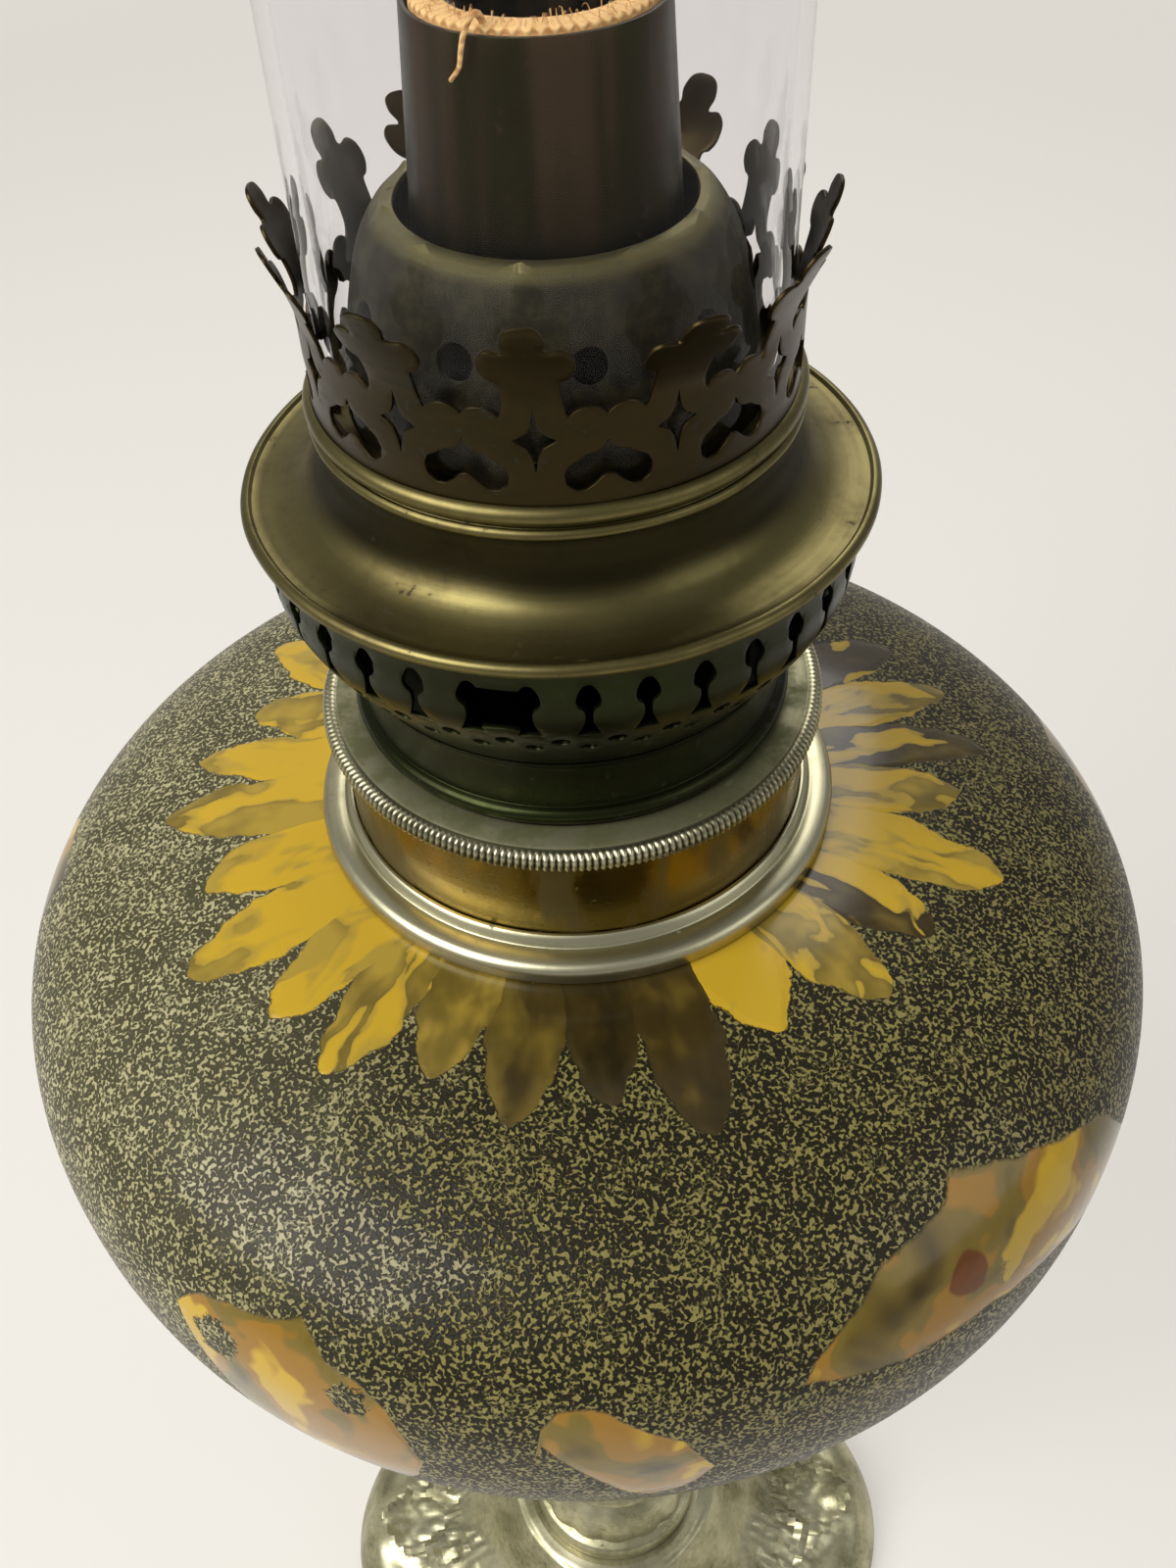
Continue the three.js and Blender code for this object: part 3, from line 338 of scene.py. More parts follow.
def flat_cell(outline, holes, step):
    """Points and triangles of a flat sheet with holes, with inner points a step apart."""
    loops = [subdivided(loop, step) for loop in [outline, *holes]]
    points, edges = [], []
    for loop in loops:
        first = len(points)
        points += loop
        edges += [(first + i, first + (i + 1) % len(loop)) for i in range(len(loop))]
    xs, ys = zip(*outline)
    edge_points = list(points)
    for i in range(1, int((max(xs) - min(xs)) / step)):
        for j in range(1, int((max(ys) - min(ys)) / step)):
            spot = (min(xs) + i * step, min(ys) + j * step)
            if on_sheet(spot, *loops) and far_from(spot, edge_points, 0.6 * step):
                points.append(spot)
    flat = geometry.delaunay_2d_cdt([Vector(p) for p in points], edges, [], 0, TINY)
    corners = [tuple(p) for p in flat[0]]
    triangles = []
    for triangle in flat[2]:
        middle = tuple(sum(corners[i][k] for i in triangle) / 3 for k in (0, 1))
        if on_sheet(middle, *loops):
            triangles.append(list(triangle))
    return corners, triangles


def pierced(count, phase, cell_at, placed):
    """A ring of flat cells. cell_at gives points and triangles, placed puts a point in space."""
    vertices, faces = [], []
    for cell in range(count):
        corners, triangles = cell_at(cell)
        first = len(vertices)
        middle = math.radians(phase) + TURN * cell / count
        vertices += [placed(cell, middle, across, up) for across, up in corners]
        faces += [[first + i for i in triangle] for triangle in triangles]
    return vertices, faces


def linked(name, data):
    """An object of the scene with some mesh, light or camera data."""
    made = bpy.data.objects.new(name, data)
    bpy.context.scene.collection.objects.link(made)
    return made


def piece(name, mesh_data, body, finish, node=None, sheet=0.0, edge=0.0):
    """A named piece that rides on a body and stands for a node. A sheet thickens inwards."""
    mesh = bpy.data.meshes.new(name)
    shape = bmesh.new()
    vertices, faces = mesh_data
    corners = [shape.verts.new(v) for v in vertices]
    for face in faces:
        if len(set(face)) > 2:
            shape.faces.new([corners[i] for i in face])
    if sheet:
        bmesh.ops.remove_doubles(shape, verts=shape.verts, dist=SEAM)
    bmesh.ops.recalc_face_normals(shape, faces=shape.faces)
    shape.to_mesh(mesh)
    shape.free()
    mesh.polygons.foreach_set("use_smooth", [True] * len(mesh.polygons))
    mesh.set_sharp_from_angle(angle=SHARP_EDGE)
    made = linked(name, mesh)
    if sheet:
        thicken = made.modifiers.new("thickness", "SOLIDIFY")
        thicken.thickness = sheet * MM
        thicken.offset = -1
    if edge:
        soften = made.modifiers.new("edges", "BEVEL")
        soften.width = edge * MM
        soften.segments = 2
        soften.limit_method = "ANGLE"
        soften.angle_limit = BEVELLED_EDGE
    mesh.materials.append(finish_of(finish))
    if body:
        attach(made, body)
    if node:
        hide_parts(node)
    return made


def together(*meshes):
    """Several meshes' vertices and faces as one."""
    vertices, faces = [], []
    for some_vertices, some_faces in meshes:
        first = len(vertices)
        vertices += list(some_vertices)
        faces += [[first + i for i in face] for face in some_faces]
    return vertices, faces


def wall_faces(steps, sides, closed=True):
    """Faces between rings of vertices that follow each other, and at both ends."""
    faces = []
    for i in range(steps):
        for k in range(sides):
            n = (k + 1) % sides
            faces.append([i * sides + k, i * sides + n, (i + 1) * sides + n, (i + 1) * sides + k])
    if closed:
        faces.append(list(range(sides))[::-1])
        faces.append(list(range(steps * sides, (steps + 1) * sides)))
    return faces


def tube(line, radius_at, sides):
    """A round bar along a line of points, closed at both ends."""
    vertices = []
    count = len(line)
    side = Vector((1, 0, 0))
    for i, point in enumerate(line):
        ahead = Vector(line[min(i + 1, count - 1)]) - Vector(line[max(i - 1, 0)])
        across = ahead.cross(side)
        if across.length < TINY:
            across = ahead.cross(Vector((0, 1, 0)))
        across.normalize()
        side = across.cross(ahead).normalized()
        for k in range(sides):
            angle = TURN * k / sides
            outwards = math.cos(angle) * side + math.sin(angle) * across
            vertices.append(tuple(Vector(point) + radius_at(i / (count - 1)) * outwards))
    return vertices, wall_faces(count - 1, sides)


# Shapes in millimetres. Heights of the burner's pieces count from the plane of the plate's edge.

PLANE = 415.0
ROD_HOLE = 4.6
KNOP_FOOT = 52.3
VASE_FOOT = 132.6
DISH_FOOT = 255.9
COLLAR_FOOT = 359.1
WASHER_FOOT = 380.0
CAP_TOP = 380.9
CUP_FOOT = PLANE - 33.8
GLASS_FOOT = PLANE + 13
GLASS_HEIGHT = 250.0

WICK_RADIUS = 12.4
WICK_FOOT = 288 - PLANE
WICK_TOP = 54.0
SLOT_TOP = -1.2
SLOT_HALF = 8.1
WICK_TUBE_RADIUS = 15.4
DRAUGHT_RADIUS = 8.9
DRAUGHT_FLOOR = -32.6

KEYHOLES = 35
MISSING_BAR = 33
FRONT_GAP = (-10.1, -4.3)
BASKET_RADIUS = 37
PRONGS = 12
CROWN_RADIUS = 27.7
CONE_HOLES = 10
CONE_RADIUS = 22
WINDER_X = 17.9
WINDER_Z = PLANE - 26.4


def metres(points, lift=0.0):
    """Millimetre points as metres, raised by a height in millimetres."""
    return [tuple(value * MM for value in (*point[:-1], point[-1] + lift)) for point in points]


def lathed(section, lift, corner, relief=lambda angle, r, z: 0, segments=240):
    """A closed section turned about Z, its corners rounded. Relief moves points outwards."""
    soft = eased(metres(section, lift), corner * MM)

    def section_at(angle):
        return [(r + (relief(angle, r, z) if r > ON_AXIS else 0), z) for r, z in soft]
    return formed(section_at, segments)


def walled(outer, wall):
    """A closed section: an outer line from bottom to top, and the same line moved inwards."""
    inner = []
    last = len(outer) - 1
    for i, point in enumerate(outer):
        along = Vector(outer[min(i + 1, last)]) - Vector(outer[max(i - 1, 0)])
        along.normalize()
        inner.append((point[0] - wall * along.y, point[1] + wall * along.x))
    return list(outer) + inner[::-1]


class Line:
    """A line of [radius, height] points that gives the point at a height or at a length."""

    def __init__(self, points, by_length=False):
        self.points = points
        self.marks = [point[1] for point in points]
        if by_length:
            self.marks = [0.0]
            for a, b in zip(points, points[1:]):
                self.marks.append(self.marks[-1] + math.dist(a, b))

    def at(self, mark):
        i = 1
        while mark > self.marks[i] and i < len(self.marks) - 1:
            i += 1
        share = (mark - self.marks[i - 1]) / max(TINY, self.marks[i] - self.marks[i - 1])
        (ar, az), (br, bz) = self.points[i - 1], self.points[i]
        return ar + share * (br - ar), az + share * (bz - az)


def wrapped(line, reach, count, lift, bend=None):
    """A function that puts a flat cell's points on a turned surface. Reach is half its width."""
    def placed(cell, middle, across, up):
        r, z = line.at(up)
        angle = middle + across / reach * math.pi / count
        if bend:
            r, z, angle = bend(cell, r, z, angle, across, up)
        return tuple(v * MM for v in around(r, angle, z + lift))
    return placed


def repeated(count, phase, outline, holes, step, placed):
    """A ring of equal flat cells."""
    return pierced(count, phase, cell_maker(lambda cell: (outline, holes), step), placed)


def cell_maker(outline_at, step):
    """A function that gives each cell's points and triangles, working out each outline once."""
    known = {}

    def cell_at(cell):
        key = json.dumps(outline_at(cell))
        if key not in known:
            known[key] = flat_cell(*outline_at(cell), step)
        return known[key]
    return cell_at


def box_outline(left, right, low, high):
    """A rectangle's corners."""
    return [(left, low), (right, low), (right, high), (left, high)]


def mirrored(half):
    """The left half of an outline, from its right half backwards."""
    return [(-x, y) for x, y in half[::-1] if x > 0]


def oval(x, y, half_width, half_height, count=14):
    """An oval hole's outline round a middle."""
    angles = [TURN * i / count for i in range(count)]
    return [(x + half_width * math.cos(a), y + half_height * math.sin(a)) for a in angles]


# Finishes

def metal(f, base, tarnish, pit, roughness=0.3, cover=0.5, metallic=1.0, dirt=None, shaded=None,
          grain=0.05):
    """A worn metal: tarnish, turned lines, pits and dirt, and painted shade where the shaded mask
    puts it.
    """
    clouds, fine = f.noise(16 * MM, 5, 0.55), f.noise(1.6 * MM, 3, 0.6)
    ringed = f.joined(f.radius() * (1.6 / MM), f.z * (1.6 / MM), f.azimuth() * 9)
    lines = f.noise(1, 2, place=ringed)
    worn = clouds + (fine - 0.5) * 0.3 + (lines - 0.5) * 0.12
    tarnished = f.ramp(worn, 0.6 - 0.5 * cover, 1.1 - 0.5 * cover)
    pitted = f.ramp(fine + (clouds - 0.5) * 0.5, 0.66, 0.74)
    colour = f.mix(pitted * 0.6, f.mix(tarnished, base, tarnish), pit)
    dull = tarnished * 0.14 + (lines - 0.5) * 0.1 + pitted * 0.2 + roughness
    shine = (1 - pitted * 0.4) * metallic
    if dirt:
        dirty = dirt(f)
        colour = f.mix(dirty, colour, pit)
        dull = dull + dirty * 0.25
        shine = shine * (1 - dirty * 0.4)
    # Painted shade: the shaded mask darkens hollows towards the hollow shade colour.
    if shaded:
        colour = f.mix(shaded(f), colour, lamp_colours()["deep_soot"])
    normal = f.bump(fine * 0.6 + lines * 0.4, grain * MM, 0.5)
    return f.surface(Base_Color=colour, Metallic=shine, Roughness=dull, Normal=normal)


def dirty_face(f):
    """Dirt on the flat upper face of the cap."""
    flat = f.above(380.3, 380.8) * (1 - f.beyond(32.6, 33.6))
    return flat * (f.ramp(f.noise(4 * MM, 5, 0.6), 0.35, 0.62) * 0.45 + 0.5)


def painted_slot_shade(f):
    """Painted shade in the slots of the cap's knurled edge, darkest at the bottom of each slot."""
    wave = f.maths("COSINE", f.azimuth() * (TURN * lamp_sizes()["knurl_count"]))
    return (0.5 - wave * 0.5) * f.beyond(33.6, 34.2) * 0.75


def painted_waist_shade(f):
    """Painted shade in the hollow waist of the gallery plate."""
    return f.above(416.6, 419.5) * (1 - f.above(424.2, 424.9)) * 0.85


def painted_tube_shade(f):
    """Painted shade on the wick tube, deep inside the flame cone."""
    return (1 - f.above(436, 449)) * 0.92


def patchy_wall(f):
    """Brown patches that run down the collar's wall."""
    patches = f.noise(1, 3, place=f.joined(f.azimuth() * 26, f.z * 40, 5.0))
    return f.ramp(patches, 0.48, 0.62) * 0.7


def soot_and_lit_mouth(f):
    """Soot on the flame cone below its mouth. The pale band left at the mouth is worn metal and
    also a painted highlight.
    """
    cloudy = f.ramp(f.noise(5 * MM, 5, 0.7), 0.35, 0.6) * 0.22 + 0.78
    return (1 - f.above(447.4, 449.3)) * cloudy


def burnt_middle(f):
    """Brown heat stains that run down the wick tube."""
    streaks = f.noise(1, 3, place=f.joined(f.azimuth() * 14, f.z * 9, 2.0))
    return f.ramp(streaks, 0.45, 0.6) * f.above(440, 462) * 0.7


def plain(f, base, dark, grain, roughness):
    """A dull material with a soft mottle, such as plaster or leather."""
    mottle = f.noise(grain * MM, 4)
    normal = f.bump(mottle, 0.1 * MM, 0.6)
    return f.surface(Base_Color=f.mix(mottle, base, dark), Roughness=roughness, Normal=normal)


def cotton(f, base, pale):
    """Woven wick cotton: ribs along the wick, crossed by fine weft."""
    ribs = f.maths("SINE", f.azimuth() * (TURN * 60)) * 0.5 + 0.5
    weft = f.maths("SINE", f.z * (TURN / (0.9 * MM)) + ribs * 3) * 0.5 + 0.5
    tone = ribs * 0.3 + weft * 0.3 + f.noise(0.5 * MM, 3) * 0.6
    colour = f.mix(f.ramp(tone, 0.2, 0.95), base, pale)
    return f.surface(Base_Color=colour, Roughness=0.9, Normal=f.bump(tone, 0.35 * MM, 0.8))


def clear_glass(f, tint, smudge):
    """Clear glass with a few smudges of fingers and dust."""
    touched = f.ramp(f.noise(16 * MM, 3, 0.6), 0.6, 0.78) * f.ramp(f.noise(2.5 * MM, 4), 0.42, 0.66)
    glass = f.node("ShaderNodeBsdfPrincipled", {
        "Base Color": tint, "Roughness": 0.0, "IOR": 1.16, "Transmission Weight": 1.0,
    })
    dust = f.node("ShaderNodeBsdfPrincipled", {"Base Color": smudge, "Roughness": 0.7})
    return f.closed(f.blended(touched * 0.05, glass, dust))


# Petals round the neck: azimuth in degrees, radius of the tip in millimetres, the share that is
# painted over with yellow, and how dark the glaze under it is.
PETALS = [
    (-171, 58, 0.6, 0.3), (-157, 62, 0.3, 0.4), (-143, 56, 0.6, 0.3),
    (-129, 65, 0.72, 0.2), (-113, 56, 0.62, 0.3), (-101.5, 61, 0.8, 0.3), (-90, 63.5, 0.62, 0.3),
    (-75, 57, 0.75, 0.2), (-62, 63, 0.66, 0.3), (-48, 57.5, 0.7, 0.2), (-37, 59, 0.42, 0.3),
    (-23, 54, 0.2, 0.35), (-11, 58, 0.1, 0.6), (2, 55, 0.0, 0.85), (14, 61, 0.08, 0.75),
    (28.5, 52, 1.0, 0.3), (45, 57, 0.55, 0.35), (58.5, 57, 0.42, 0.7), (71, 64, 0.72, 0.3),
    (86, 58, 0.62, 0.35), (96.5, 65, 0.45, 0.7), (108, 64, 0.6, 0.4), (120, 62, 0.3, 0.8),
    (134, 57, 0.7, 0.4), (148, 63, 0.4, 0.5), (162, 59, 0.6, 0.6), (175, 64, 0.7, 0.3),
]
RAMP_SPAN = 30
PETAL_REACH = 70 * MM
NECK_EDGE = 37 * MM

# Blossoms on the belly: azimuth in degrees, heights of the upper and the lower edge, and darkness.
# Where the upper edge is below the lower one, there is no blossom.
FRONT_BLOSSOMS = [
    (-180, 318, 322, 0.4), (-41, 330, 334, 0.4), (-39.2, 337, 336, 0.4),
    (-37.3, 339.8, 329, 0.3), (-33, 341.4, 315, 0.5), (-28.8, 342.2, 311, 0.3),
    (-26.3, 344, 310, 0.2), (-24.3, 340.2, 310, 0.2), (-21, 339, 311, 0.5),
    (-17.5, 335, 313, 0.8), (-15.5, 322, 326, 0.6), (-7.2, 322, 326, 0.5), (-5.9, 336.5, 334, 0.4),
    (-4, 340, 330, 0.3), (-0.5, 339.4, 322, 0.1), (2.6, 336, 316, 0.1), (5.8, 333.4, 318, 0.3),
    (9, 322, 326, 0.6), (13.5, 332, 336, 0.6), (16.3, 339.2, 337.6, 0.5), (19, 342, 335.8, 0.4),
    (25.5, 346.3, 333.7, 0.55), (33.4, 347.4, 332.8, 0.7), (35.3, 349.2, 332.5, 0.6),
    (45, 345.2, 328, 0.1), (54, 340.5, 320, 0.4), (62, 322, 326, 0.6),
]
BACK_BLOSSOMS = [
    (-180, 318, 322, 0.4), (-150, 318, 322, 0.4), (-146, 342, 311, 0.5), (-134, 347, 309, 0.7),
    (-122, 341, 311, 0.4), (-117, 318, 322, 0.4), (-105, 318, 322, 0.4), (-99, 344, 313, 0.2),
    (-88, 346, 311, 0.4), (-80, 318, 322, 0.4), (84, 318, 322, 0.4), (89, 341, 313, 0.6),
    (101, 347, 310, 0.4), (113, 341, 312, 0.7), (118, 318, 322, 0.4), (150, 318, 322, 0.4),
    (156, 343, 311, 0.3), (167, 347, 309, 0.6), (176, 318, 322, 0.4),
]
BLOSSOM_LOW = 290
BLOSSOM_SPAN = 60
BARE_SPOTS = [(-34.8, 334.2, 3.8), (-21.7, 335.2, 2.8), (97, 331, 3.2), (-134, 330, 3.6)]
RED_HEARTS = [(32.8, 340.2, 3.6), (106, 334, 5), (-140, 333, 5), (165, 331, 5)]


def petal_places():
    """Ramp stops from the azimuth in turns to the petal's number, which keep the petals' widths."""
    stops = [(petal[0] / 360 + 0.5, i + 1) for i, petal in enumerate(PETALS)]
    before = (stops[-1][0] - 1, 0)
    after = (stops[0][0] + 1, len(PETALS) + 1)
    share = -before[0] / (stops[0][0] - before[0])
    stops = [(0.0, share), *stops, (1.0, len(PETALS) + share)]
    return [(place, (number / RAMP_SPAN,) * 3 + (1,)) for place, number in stops]


def petal_traits():
    """Ramp stops from the petal's number to its reach, painted share and darkness."""
    numbered = [PETALS[-1], *PETALS, PETALS[0]]
    return [
        (max(0.0, (i - 0.5) / RAMP_SPAN), (radius * MM / PETAL_REACH, painted, dark, 1))
        for i, (_, radius, painted, dark) in enumerate(numbered)
    ]


def blossom_edges(blossoms):
    """Ramp stops from the azimuth in turns to a blossom's two edges and its darkness."""
    stops = []
    for azimuth, *edges, dark in blossoms:
        top, low = ((edge - BLOSSOM_LOW) / BLOSSOM_SPAN for edge in edges)
        stops.append((azimuth / 360 + 0.5, (top, low, dark, 1)))
    return stops


def glazed_ceramic(f):
    """Glaze of the font: petals round the neck and blossoms on the belly, on a ground of worms."""
    colours = lamp_colours()
    turn = f.azimuth() + 0.5
    radius = f.radius()
    broad, ragged, grains = f.noise(7 * MM, 2), f.noise(1.3 * MM, 3, 0.6), f.noise(0.4 * MM, 1)
    softly, roughly = broad - 0.5, ragged - 0.5

    place = f.table(turn + softly * 0.012, petal_places())[0] * RAMP_SPAN
    number = f.maths("ROUND", place)
    reach, painted, dark = f.table(number / RAMP_SPAN, petal_traits(), "CONSTANT")
    side = abs(place - number)
    along = (radius - NECK_EDGE) / (reach * PETAL_REACH - NECK_EDGE)
    narrowing = f.highest(1 - along, 0) ** 0.55
    inner = narrowing * 0.72 - side + roughly * 0.09
    above = f.above(340, 343)
    petal = f.ramp(inner, 0, 0.03) * above
    strokes = f.noise(1, 2, 0.5, f.joined(place * 2.1, along * 1.7, number * 7.3), 0.5)
    share = strokes + roughly * 0.04 + (painted - 0.5) * 0.42 - f.ramp(along, 0.75, 1) * 0.07
    stroke = f.ramp(share, 0.503, 0.525)
    under = f.shades(dark + softly * 0.6 + (strokes - 0.5) * 0.9, [
        (0.1, colours["petal_straw"]), (0.35, colours["petal_olive"]),
        (0.7, colours["petal_brown"]), (1.0, colours["petal_dark"]),
    ])
    yellow = f.mix(f.ramp(share, 0.5, 0.6), colours["petal_straw"], colours["petal_yellow"])
    petal_colour = f.mix(stroke, under, yellow)

    height = (f.z / MM - BLOSSOM_LOW) / BLOSSOM_SPAN + roughly * 0.012 + softly * 0.02
    edge, shade = 0, 0
    for blossoms in (FRONT_BLOSSOMS, BACK_BLOSSOMS):
        top, low, dark_here = f.table(turn, blossom_edges(blossoms))
        edge_here = f.lowest(top - height, height - low)
        shade = shade + dark_here * f.ramp(edge_here, -0.02, 0)
        edge = f.highest(edge_here, edge) if edge else edge_here
    bare = painted_spots(f, BARE_SPOTS, ragged)
    blossom = f.ramp(edge, 0, 0.01) * (1 - bare)
    wash = f.noise(13 * MM, 2, 0.45, distortion=0.6) + (0.5 - shade) * 0.22
    blossom_colour = f.shades(wash, [
        (0.34, colours["petal_brown"]), (0.48, colours["petal_olive"]),
        (0.52, colours["petal_olive"]), (0.55, colours["blossom_amber"]),
        (0.62, colours["blossom_amber"]), (0.66, colours["petal_yellow"]),
    ])
    across = (turn - 0.6) * 360
    ray = 1 - f.ramp(abs(f.z / MM - 337 - across * 0.5 + softly * 5), 2.0, 2.8)
    ray = ray * f.ramp(across + roughly * 3, 0, 0.6) * (1 - f.ramp(across, 24, 34))
    blossom_colour = f.mix(ray * 0.85, blossom_colour, colours["petal_yellow"])
    heart = painted_spots(f, RED_HEARTS, broad) * 0.85
    blossom_colour = f.mix(heart, blossom_colour, colours["blossom_red"])

    swirl = f.noise(0.54 * MM, 0, 0.4, distortion=0.5)
    thread = 1 - f.ramp(abs(f.noise(0.9 * MM, 0, 0.4, distortion=0.3) - 0.5), 0.02, 0.06)
    worm = f.highest(f.ramp(swirl, 0.49, 0.62), thread * f.ramp(broad, 0.5, 0.62) * 0.75)
    # Painted light: the ground and its worms turn paler and greyer towards the left, the side the
    # window lamp lights.
    left = f.ramp(softly * 0.5 - f.x / radius, 0.19, 0.95)
    deep = f.mix(left, colours["ground_dark"], colours["ground_worn"])
    pale = f.mix(left, colours["worm_green"], colours["worm_grey"])
    ground = f.mix(worm * (grains * 0.7 + 0.6 + softly * 0.4), deep, pale)

    smooth = f.highest(petal, blossom)
    colour = f.mix(blossom, f.mix(petal, ground, petal_colour), blossom_colour)
    raised = f.highest(f.ramp(inner, -0.01, 0.14) * above, f.ramp(edge, 0, 0.05))
    relief = smooth * raised * (0.35 + softly * 0.2) + (1 - smooth) * (worm * 0.8 + grains * 0.15)
    return f.surface(
        Base_Color=colour,
        Specular_IOR_Level=0.2,
        Roughness=0.42 - smooth * 0.2,
        Coat_Weight=smooth * 0.3 + (1 - smooth) * worm * 0.3,
        Coat_Roughness=0.12,
        Normal=f.bump(relief, lamp_sizes()["glaze_relief"], 0.9),
    )


def painted_spots(f, spots, wobble):
    """Round spots on the font, with wavy edges. A spot is an azimuth, a height and a radius."""
    mask = 0
    for azimuth, z, size in spots:
        away = f.distance(on_font(azimuth, z)) + (wobble - 0.5) * 4 * MM
        mask = f.highest(1 - f.ramp(away, size * 0.85 * MM, size * MM), mask)
    return mask


# Shapes of the turned pieces

FONT_FOOT = 262.3
FONT_BELLY = 323.0
FONT_RADIUS = 89.0
FONT_WALL = 5
NECK_TOP = 371


def font_curve(rise, power, end_radius, steps=48):
    """The font's outer curve from its belly to a smaller radius, as radii and rises."""
    share = end_radius / FONT_RADIUS
    full_rise = rise / (1 - share ** power) ** (1 / power)
    end = math.acos(share ** (power / 2))
    angles = [end * i / steps for i in range(steps + 1)]
    bend = 2 / power
    return [(FONT_RADIUS * math.cos(a) ** bend, full_rise * math.sin(a) ** bend) for a in angles]


FONT_UPPER = font_curve(35.8, 2.9, 38.0)
FONT_LOWER = font_curve(57.5, 2.05, 24.0)


def on_font(azimuth, z):
    """The point of the font's surface at an azimuth in degrees and a height in millimetres."""
    upper = Line([(r, FONT_BELLY + h) for r, h in FONT_UPPER])
    return tuple(v * MM for v in around(upper.at(z)[0], math.radians(azimuth), z))


def font_section():
    """The font's outside, the mouth of its neck, and its hollow."""
    outer = [(0, FONT_FOOT), (24, FONT_FOOT)]
    outer += [(r, FONT_BELLY - h) for r, h in FONT_LOWER[::-1]]
    outer += [(r, FONT_BELLY + h) for r, h in FONT_UPPER[1:]]
    roof = font_curve(35.8, 2.9, 31.0)[::-1]
    inner = [(max(0, r - FONT_WALL), FONT_BELLY + h * 0.86) for r, h in roof]
    inner += [(max(0, r - FONT_WALL), FONT_BELLY - h * 0.91) for r, h in FONT_LOWER[1:]]
    neck = [(28.7, 358.8), (28.7, NECK_TOP), (25.5, NECK_TOP), (25.5, 354)]
    return [*outer, *neck, *inner, (0, 270.6)]


KNOP = [
    (ROD_HOLE, 0), (24.5, 0), *curve([
        (24.5, 3.4), (23.6, 5.6), (20.8, 7.4), (22.9, 11.6), (23.6, 17), (21.5, 23.2), (17.4, 28.6),
        (19.6, 31.2), (20.1, 33), (18.6, 35.4), (15.6, 39.2), (13.6, 50), (13.2, 60), (14.4, 66),
        (16.2, 70.4),
    ]), (16.2, 80), (ROD_HOLE, 80),
]
VASE = [
    (ROD_HOLE, 0), (15.7, 0), *curve([
        (15.7, 3.7), (12.6, 7.4), (14.2, 12), (20, 21), (25.4, 36), (26.1, 45), (24.6, 54),
        (18.9, 65.2), (13.8, 80), (11.6, 94), (11.8, 101), (14.6, 104.6), (16.3, 108.2),
        (14.6, 112), (12.9, 115.6), (13.3, 119),
    ]), (14.85, 123), (ROD_HOLE, 123),
]
DISH = [
    (4.3, 0), (14.85, 0), *curve([
        (14.85, 0.9), (18.4, 1.6), (22.4, 3.2), (26.8, 5), (31.6, 6.8), (33.6, 7.6),
    ]), (34, 8.9), (25.9, 8.1), (24.3, 5.8), (24.3, 4), (4.3, 4),
]
COLLAR_RING = [
    (33.3, 0), (37.9, 0), (38, 1.3), *arc(36.5, 1.7, 1.5, 0, 75, 6), (35.6, 3.35), (35, 3.3),
    (34.5, 3.2), (34.3, 3.5), (34, 4.5), (33.6, 4.9), (33.06, 4.9), (33.3, 4.2),
]
COLLAR_WALL = [(32, 0), (33, 0), (33, 17.9), *arc(32.5, 18.2, 0.5, 0, 180), (32, 18)]
CAP = [
    (24.4, -1.2), (24.4, -7.7), (25.4, -7.7), (25.4, -2.4), (28.9, -2.4), (28.9, -7.4),
    (29.9, -7.4), (29.9, -2.8), *arc(34, -1.8, 1, -90, 0, 4), *arc(33.6, -1.4, 1.4, 0, 90, 5),
    (33, -0.22), (32.4, 0), (29.2, 0), (28.6, -0.5), (28.6, -1.2),
]
WASHER = [(24.4, 0), (28.3, 0), (28.3, 0.9), (24.4, 0.9)]
CUP = [
    (15.7, 0), (23, 0), (23, -6.5), (24, -6.5), (24, 0), (28.4, 0),
    *arc(28.7, 1.3, 1.3, -90, 90, 8), (28.7, 3.2), (28.7, 9),
    *curve([(28.75, 9.4), (29.1, 10.2), (29.5, 10.9)], 3), (28.7, 10.9), (27.9, 9.3), (27.9, 0.8),
    (15.7, 0.8),
]
PLATE = [
    *arc(38.1, 0, 0.9, -150, 100, 12), (37.6, 0.45), *curve([
        (36.8, 0.38), (34.6, 0.62), (32.5, 1.2), (30.7, 2.3), (29.4, 4.1), (28.6, 6.2), (28.3, 8.6),
    ]), (28.3, 9.75), *arc(28.5, 10.3, 0.75, -70, 70), (28.3, 10.85),
    *arc(28.2, 12.5, 1.2, -70, 80, 8), (28.48, 13.6), (28.48, 12.7), (24.2, 12.7), (24.2, 12),
    (27.6, 12), (27.6, 8.3), (28.1, 5.2), (29.2, 2.9), (31, 1.2), (33, 0.1), (35.16, -0.35),
    (35.16, -3.2), (35.86, -3.2), (35.86, -0.35), (37.3, -0.35),
]
BASKET_WALL = curve([
    (29.5, -22.6), (29.9, -21.6), (31.2, -19.9), (34.2, -15.6), (36, -12.3), (36.9, -9.6),
    (37.1, -7.4), (37.05, -5.1), (36.85, -4.9), (36.85, -0.65),
])
CROWN_WALL = curve([
    (27.9, 0), (27.9, 5), (27.9, 11), (28.2, 13.4), (29.1, 17), (30.1, 20), (30.7, 22),
], 4)
CONE_WALL = curve([
    (25.4, 11.7), (24, 11.72), (23.85, 12.4), (23.67, 16.3), (23.2, 20.6), (22.4, 24.6),
    (20.9, 29.7), (19.0, 32.9), (17.6, 34.1), (17.3, 34.7), (16.7, 34.8), (16.3, 34.3),
])
GLASS = curve([
    (26.9, 0), (26.9, 20), (26.9, 42), (26.8, 50), (25.9, 55), (23.6, 59.6), (21, 63), (19.2, 65.4),
    (18.8, 67.2), (19.1, 70), (19.7, 74), (20, 79), (19.8, 110), (19.4, 180), (19, GLASS_HEIGHT),
])
